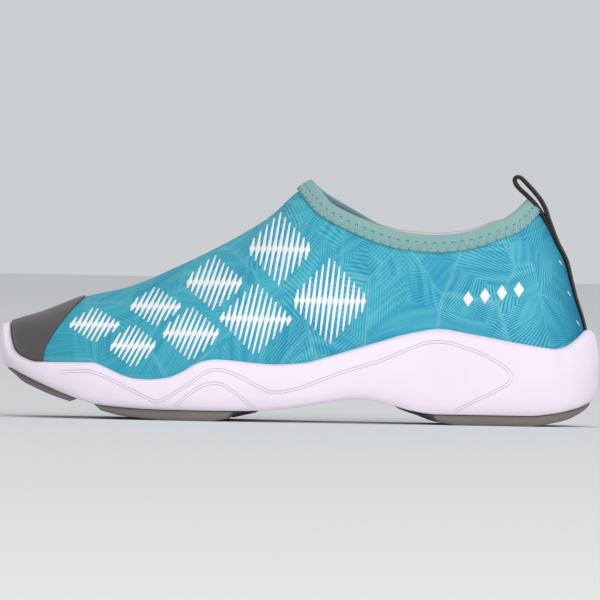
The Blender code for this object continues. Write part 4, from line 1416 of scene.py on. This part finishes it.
def fabric_material():
    """Knitted polyester, sublimation printed: matt, soft at grazing light, with hairline artwork
    in polygon patches that are finely ruled in slightly darker and lighter turquoise."""
    material, tree, shader = start_material(
        "knitted_polyester_printed",
        {"Roughness": 0.78, "Sheen Weight": 0.03, "Sheen Roughness": 0.5, "Specular IOR Level": 0.2},
    )
    cloth = add_node(tree, "UVMap", {}, uv_map="cloth")
    along = add_node(tree, "SeparateXYZ", {0: cloth}, "X")

    # The patches: two layers of polygons, whose edges wander a little as a drawn line does
    drift = {"Vector": cloth, "Scale": 45.0, "Detail": 4.0, "Roughness": 0.55}
    drift = add_node(tree, "TexNoise", drift, "Color")
    drift = add_node(tree, "VectorMath", {0: drift, 1: (0.5, 0.5, 0.5)}, operation="SUBTRACT")
    drift = {0: drift, 1: (LINE_DRIFT, LINE_DRIFT, 0), 2: cloth}
    place = add_node(tree, "VectorMath", drift, operation="MULTIPLY_ADD")
    slant = {"Vector": place, "Rotation": (0, 0, 0.6), "Scale": (1.25, 0.8, 1.0)}
    slanted = add_node(tree, "Mapping", slant)
    cross = {"Vector": place, "Location": (0.011, 0.023, 0), "Rotation": (0, 0, -0.9)}
    crossed = add_node(tree, "Mapping", {**cross, "Scale": (0.75, 1.35, 1.0)})
    polygon = {"Vector": slanted, "Scale": 1 / PATCH_SIZE}
    cell = add_node(tree, "TexVoronoi", polygon, "Color", voronoi_dimensions="2D")
    edges = {"voronoi_dimensions": "2D", "feature": "DISTANCE_TO_EDGE"}
    border = add_node(tree, "TexVoronoi", polygon, "Distance", **edges)
    polygon = {"Vector": crossed, "Scale": 1 / PATCH_SIZE}
    shard = add_node(tree, "TexVoronoi", polygon, "Color", voronoi_dimensions="2D")
    heart = shard.node.outputs["Position"]
    pick = add_node(tree, "SeparateColor", {0: cell}, "Red").node.outputs
    second = add_node(tree, "SeparateColor", {0: shard}, "Red").node.outputs

    # The hairlines: fans that spread from beside each patch, or nested lines along its edge
    turn = add_node(tree, "Math", {0: pick["Red"], 1: second["Red"]}, operation="ADD")
    turn = add_node(tree, "Math", {0: turn, 1: FULL_TURN}, operation="MULTIPLY")
    reach = {"Value": second["Green"], "To Min": 0.012, "To Max": 0.045}
    reach = add_node(tree, "CombineXYZ", {0: add_node(tree, "MapRange", reach)})
    reach = {"Vector": reach, "Angle": turn}
    reach = add_node(tree, "VectorRotate", reach, rotation_type="Z_AXIS")
    spread = add_node(tree, "VectorMath", {0: crossed, 1: heart}, operation="SUBTRACT")
    spread = add_node(tree, "VectorMath", {0: spread, 1: reach}, operation="SUBTRACT")
    spread = add_node(tree, "SeparateXYZ", {0: spread}, "X").node.outputs
    fan = add_node(tree, "Math", {0: spread["Y"], 1: spread["X"]}, operation="ARCTAN2")
    fan = add_node(tree, "Math", {0: fan, 1: FAN_SPREAD / LINE_PERIOD}, operation="MULTIPLY")
    nested = {0: border, 1: PATCH_SIZE / LINE_PERIOD}
    nested = add_node(tree, "Math", nested, operation="MULTIPLY")
    choice = add_node(tree, "Math", {0: second["Blue"], 1: 0.46}, operation="GREATER_THAN")
    phase = add_node(tree, "Mix", {0: choice, 2: fan, 3: nested})
    wave = add_node(tree, "Math", {0: phase, 1: 0.5}, operation="PINGPONG")
    dark = {"Value": wave, "From Min": 0.05, "From Max": 0.17, "To Min": 1.0, "To Max": 0.0}
    dark = add_node(tree, "MapRange", dark)
    light = add_node(tree, "MapRange", {"Value": wave, "From Min": 0.32, "From Max": 0.48})

    # The lines differ in strength from patch to patch and are weaker over the toes
    strength = {"Value": pick["Blue"], "To Min": 0.28, "To Max": 1.0}
    strength = add_node(tree, "MapRange", strength)
    behind = {"Value": along, "From Min": 0.07, "From Max": 0.16, "To Min": 0.40, "To Max": 1.0}
    behind = add_node(tree, "MapRange", behind)
    strength = add_node(tree, "Math", {0: strength, 1: behind}, operation="MULTIPLY")
    dark = add_node(tree, "Math", {0: dark, 1: strength}, operation="MULTIPLY")
    light = add_node(tree, "Math", {0: light, 1: strength}, operation="MULTIPLY")
    light = add_node(tree, "Math", {0: light, 1: 0.55}, operation="MULTIPLY")

    # The pale seams between patches
    width = add_node(tree, "MapRange", {"Value": pick["Red"], "To Min": 0.018, "To Max": 0.085})
    seam = {"Value": border, "From Min": 0.004, "From Max": width, "To Min": 1.0, "To Max": 0.0}
    seam = add_node(tree, "MapRange", seam)
    faint = add_node(tree, "Math", {0: pick["Green"], 1: 0.60}, operation="MULTIPLY")
    seam = add_node(tree, "Math", {0: seam, 1: faint}, operation="MULTIPLY")

    # The dye's soft brushed clouds
    tone = add_node(tree, "TexNoise", {"Vector": cloth, "Scale": 32.0, "Detail": 2.0}, "Fac")
    streak = {"Vector": place, "Angle": turn}
    streak = add_node(tree, "VectorRotate", streak, rotation_type="Z_AXIS")
    streak = add_node(tree, "VectorMath", {0: streak, 1: (330.0, 28.0, 1.0)}, operation="MULTIPLY")
    brushed = add_node(tree, "TexNoise", {"Vector": streak, "Scale": 1.0, "Detail": 3.0}, "Fac")
    patch = add_node(tree, "Mix", {0: 0.6, 2: tone, 3: brushed})
    patch = add_node(tree, "MapRange", {"Value": patch, "From Min": 0.36, "From Max": 0.66})

    # Painted shade darkens the cloth where it turns round the heel, and over the toes it is greener,
    # partly its own hue and partly painted shade
    heel = {"Value": along, "From Min": 0.236, "From Max": 0.264, "To Min": 0.0, "To Max": 0.9}
    heel = add_node(tree, "MapRange", heel)
    front = {"Value": along, "From Min": 0.03, "From Max": 0.21, "To Min": 0.5, "To Max": 0.0}
    front = add_node(tree, "MapRange", front)

    colour = {0: patch, 6: to_linear("2598be"), 7: to_linear("62cbd8")}
    colour = add_node(tree, "Mix", colour, 2, data_type="RGBA")
    layers = ((light, "88d6e0"), (dark, "167a9f"), (seam, "84cdd6"))
    # The heel layer is painted shade; the front layer is the toes' greener hue with some painted
    # shade
    for share, code in (*layers, (heel, "00779b"), (front, "2f95a6")):
        layer = {0: share, 6: colour, 7: to_linear(code)}
        colour = add_node(tree, "Mix", layer, 2, data_type="RGBA")
    knit = {"Vector": cloth, "Scale": 1 / KNIT_PITCH, "Detail": 1.0}
    knit = add_node(tree, "TexNoise", knit)
    bump = add_node(tree, "Bump", {"Height": knit, "Distance": 0.00012, "Strength": 0.5})
    feed(tree, shader, {"Base Color": colour, "Normal": bump})
    return material


def plain_material(name, code, finish, grain, depth, mottle=0.06):
    """A material whose one colour varies a little, with a fine grain of a real size and depth."""
    material, tree, shader = start_material(name, finish)
    place = add_node(tree, "TexCoord", {}, "Object")
    share = add_node(tree, "TexNoise", {"Vector": place, "Scale": 60.0, "Detail": 3.0})
    share = {"Value": share, "From Min": 0.3, "From Max": 0.7, "To Min": 1 - mottle, "To Max": 1.0}
    share = add_node(tree, "MapRange", share)
    colour = {0: share, 6: to_linear("000000"), 7: to_linear(code)}
    colour = add_node(tree, "Mix", colour, 2, data_type="RGBA")
    rough = add_node(tree, "TexNoise", {"Vector": place, "Scale": 1 / grain, "Detail": 2.0})
    bump = add_node(tree, "Bump", {"Height": rough, "Distance": depth, "Strength": 0.6})
    feed(tree, shader, {"Base Color": colour, "Normal": bump})
    return material


def foam_material():
    """Compression-moulded EVA foam: smooth, matt, faintly lilac white and a little translucent."""
    finish = {"Roughness": 0.55, "Specular IOR Level": 0.4, "Subsurface Weight": 0.12}
    finish.update({"Subsurface Radius": (0.003, 0.0025, 0.0025), "Subsurface Scale": 1.0})
    material, tree, shader = start_material("moulded_eva_foam", finish)
    place = add_node(tree, "TexCoord", {}, "Object")
    cloud = add_node(tree, "TexNoise", {"Vector": place, "Scale": 35.0, "Detail": 2.0})
    colour = {0: cloud, 6: to_linear("f3e5f3"), 7: to_linear("fcf0fb")}
    colour = add_node(tree, "Mix", colour, 2, data_type="RGBA")
    grain = add_node(tree, "TexNoise", {"Vector": place, "Scale": 1 / FOAM_GRAIN, "Detail": 2.0})
    bump = add_node(tree, "Bump", {"Height": grain, "Distance": 0.00005, "Strength": 0.5})
    feed(tree, shader, {"Base Color": colour, "Normal": bump})
    return material


def woven_material(name, code, fleck_and_highlight, pitch, finish):
    """Woven or knitted yarn: rows of small rounded floats, with scattered lighter yarns and a painted
    highlight on the floats' crests.
    """
    material, tree, shader = start_material(name, finish)
    cloth = add_node(tree, "UVMap", {}, uv_map="cloth")
    split = add_node(tree, "SeparateXYZ", {0: cloth}, "X").node.outputs
    waves = []
    for socket in ("X", "Y"):
        turn = {0: split[socket], 1: FULL_TURN / pitch}
        turn = add_node(tree, "Math", turn, operation="MULTIPLY")
        waves.append(add_node(tree, "Math", {0: turn}, operation="SINE"))
    weave = add_node(tree, "Math", {0: waves[0], 1: waves[1]}, operation="MULTIPLY")
    stray_yarn_and_highlight = add_node(tree, "TexNoise", {"Vector": cloth, "Scale": 1 / pitch, "Detail": 2.0})
    stray_yarn_and_highlight = add_node(tree, "MapRange", {"Value": stray_yarn_and_highlight, "From Min": 0.55, "From Max": 0.72})
    stray_yarn_and_highlight = add_node(tree, "Math", {0: stray_yarn_and_highlight, 1: 0.30}, operation="MULTIPLY")
    # The weave's raised crests take the fleck colour as a painted highlight
    crest = {"Value": weave, "From Min": -0.1, "From Max": 0.9, "To Max": 0.6}
    crest = add_node(tree, "MapRange", crest)
    stray_yarn_and_highlight = add_node(tree, "Math", {0: stray_yarn_and_highlight, 1: crest}, operation="MAXIMUM")
    colour = {0: stray_yarn_and_highlight, 6: to_linear(code), 7: to_linear(fleck_and_highlight)}
    colour = add_node(tree, "Mix", colour, 2, data_type="RGBA")
    bump = add_node(tree, "Bump", {"Height": weave, "Distance": 0.00015, "Strength": 0.7})
    feed(tree, shader, {"Base Color": colour, "Normal": bump})
    return material


def facing_material():
    """Brushed polyester facing inside the collar: a soft nap, grey blue in front and fading to a
    pinkish white behind."""
    material, tree, shader = start_material(
        "brushed_polyester_facing", {"Roughness": 0.85, "Sheen Weight": 0.2}
    )
    place = add_node(tree, "TexCoord", {}, "Object")
    nap = add_node(tree, "TexNoise", {"Vector": place, "Scale": 1 / NAP_PITCH, "Detail": 3.0})
    worn = add_node(tree, "MapRange", {"Value": nap, "To Min": 0.0, "To Max": 0.3})
    along = add_node(tree, "SeparateXYZ", {0: place}, "X")
    along = add_node(tree, "MapRange", {"Value": along, "From Min": 0.028, "From Max": 0.05})
    colour = to_linear("6b8698")
    for share, code in ((along, "ecdcd9"), (worn, "8c8f96")):
        layer = {0: share, 6: colour, 7: to_linear(code)}
        colour = add_node(tree, "Mix", layer, 2, data_type="RGBA")
    bump = add_node(tree, "Bump", {"Height": nap, "Distance": 0.0002, "Strength": 0.5})
    feed(tree, shader, {"Base Color": colour, "Normal": bump})
    return material


def add_light(name, place, aim, size, power):
    lamp = bpy.data.lights.new(name, "AREA")
    lamp.size = size
    lamp.energy = power
    light = bpy.data.objects.new(name, lamp)
    light.location = place
    light.rotation_euler = (Vector(aim) - Vector(place)).to_track_quat("-Z", "Y").to_euler()
    bpy.context.scene.collection.objects.link(light)
    return light


def build_studio():
    """A pale floor, soft lights and the long lens level with the shoe."""
    floor, *_ = start_material("pale_floor", {"Roughness": 0.8, "Base Color": to_linear("e6e6e6")})
    bm = bmesh.new()
    bmesh.ops.create_grid(bm, x_segments=1, y_segments=1, size=FLOOR_SIZE)
    mesh = bpy.data.meshes.new("floor")
    bm.to_mesh(mesh)
    bm.free()
    mesh.materials.append(floor)
    plane = bpy.data.objects.new("floor", mesh)
    bpy.context.scene.collection.objects.link(plane)
    world = bpy.data.worlds.new("studio")
    world.use_nodes = True
    background = world.node_tree.nodes["Background"]
    background.inputs["Color"].default_value = to_linear("e9ecef")
    background.inputs["Strength"].default_value = 0.74
    bpy.context.scene.world = world
    lights = [add_light(name, *values) for name, values in LIGHTS.items()]
    view = bpy.data.cameras.new("camera")
    view.lens = LENS
    view.clip_end = 20
    camera = bpy.data.objects.new("camera", view)
    target = Vector(CAMERA_TARGET)
    rise = math.radians(CAMERA_RISE)
    away = Vector((0, -math.cos(rise), math.sin(rise)))
    camera.location = target + away * CAMERA_DISTANCE
    camera.rotation_euler = (target - camera.location).to_track_quat("-Z", "Y").to_euler()
    camera.rotation_euler.rotate_axis("Z", math.radians(CAMERA_ROLL))
    bpy.context.scene.collection.objects.link(camera)
    bpy.context.scene.camera = camera
    bpy.context.scene.view_settings.view_transform = "Standard"


# Dyed polyester yarn: matt, with a faint soft edge where light grazes its fibres
YARN = {"Roughness": 0.8, "Sheen Weight": 0.15, "Specular IOR Level": 0.3}

# White film cut and pressed on hot: an even, opaque white, a little glossier than the cloth
glossier = {"Roughness": 0.5, "Specular IOR Level": 0.4}
print_film = plain_material("white_print_film", "f4f8fa", glossier, 0.0006, 0.00003, 0.02)

# Polyurethane film pressed on hot: smooth and satin, a little cloudy where the cloth shows through
satin = {"Roughness": 0.42}
toe_film = plain_material("grey_polyurethane_film", "565054", satin, 0.0008, 0.00004, 0.10)

# Polyester lining bonded to the upper, and the same cloth on the sockliner: pale, dull and fuzzy
lining = plain_material("bonded_polyester_lining", "e3d9d8", YARN, 0.0009, 0.0001)
liner_cloth = plain_material("cloth_faced_foam_liner", "dcd7d6", YARN, 0.0009, 0.0001)

# Rubber moulded in an etched tool: a warm grey, dull, with a fine even grain
dull = {"Roughness": 0.68, "Specular IOR Level": 0.4}
tread_rubber = plain_material("moulded_grey_rubber", "7b7673", dull, 0.0012, 0.00008)

# The shadow in a needle hole in the band: a dull, dark grey green
needle_dark = plain_material("needle_hole_shadow", "365a5d", {"Roughness": 0.95}, 0.0008, 0.00003)

# The foam's skin in the sharp corner of a moulded line: the foam's lilac, in its own shadow
hairline = plain_material("moulded_foam_hairline", "beb5cf", {"Roughness": 0.6}, 0.0009, 0.00002)

# Twisted polyester thread: clean and slightly soft at its edges
white_thread = plain_material("white_polyester_thread", "f2f6f8", YARN, 0.0004, 0.00003)
aqua_thread = plain_material("aqua_polyester_thread", "95c2c5", YARN, 0.0004, 0.00003)

# Knitted stretch binding, folded over: a dull grey green of fine even stitches, with scattered paler
# yarns and a painted highlight on their crests
aqua_band = woven_material("folded_stretch_binding", "90bcb8", "a8cdc8", BAND_PITCH, YARN)

# Webbing woven of black polyester: rows of small floats, with scattered paler yarns and a painted
# highlight on their crests
black_tape = woven_material("woven_polyester_webbing", "171618", "6c6661", WEBBING_PITCH, YARN)

build_upper(fabric_material(), lining, toe_film)
build_print(print_film)
build_toe_cap(toe_film)
build_binding(aqua_band, facing_material(), aqua_thread, needle_dark)
build_tape(black_tape)
foam_cup = build_foam(foam_material())
build_mould_lines(foam_cup, hairline)
build_sockliner(liner_cloth)
outline = pad_edges()
for pad_name, pad_shape in PADS.items():
    build_pad(pad_name, pad_shape, outline, tread_rubber)
build_heel_stitches(white_thread)
build_studio()
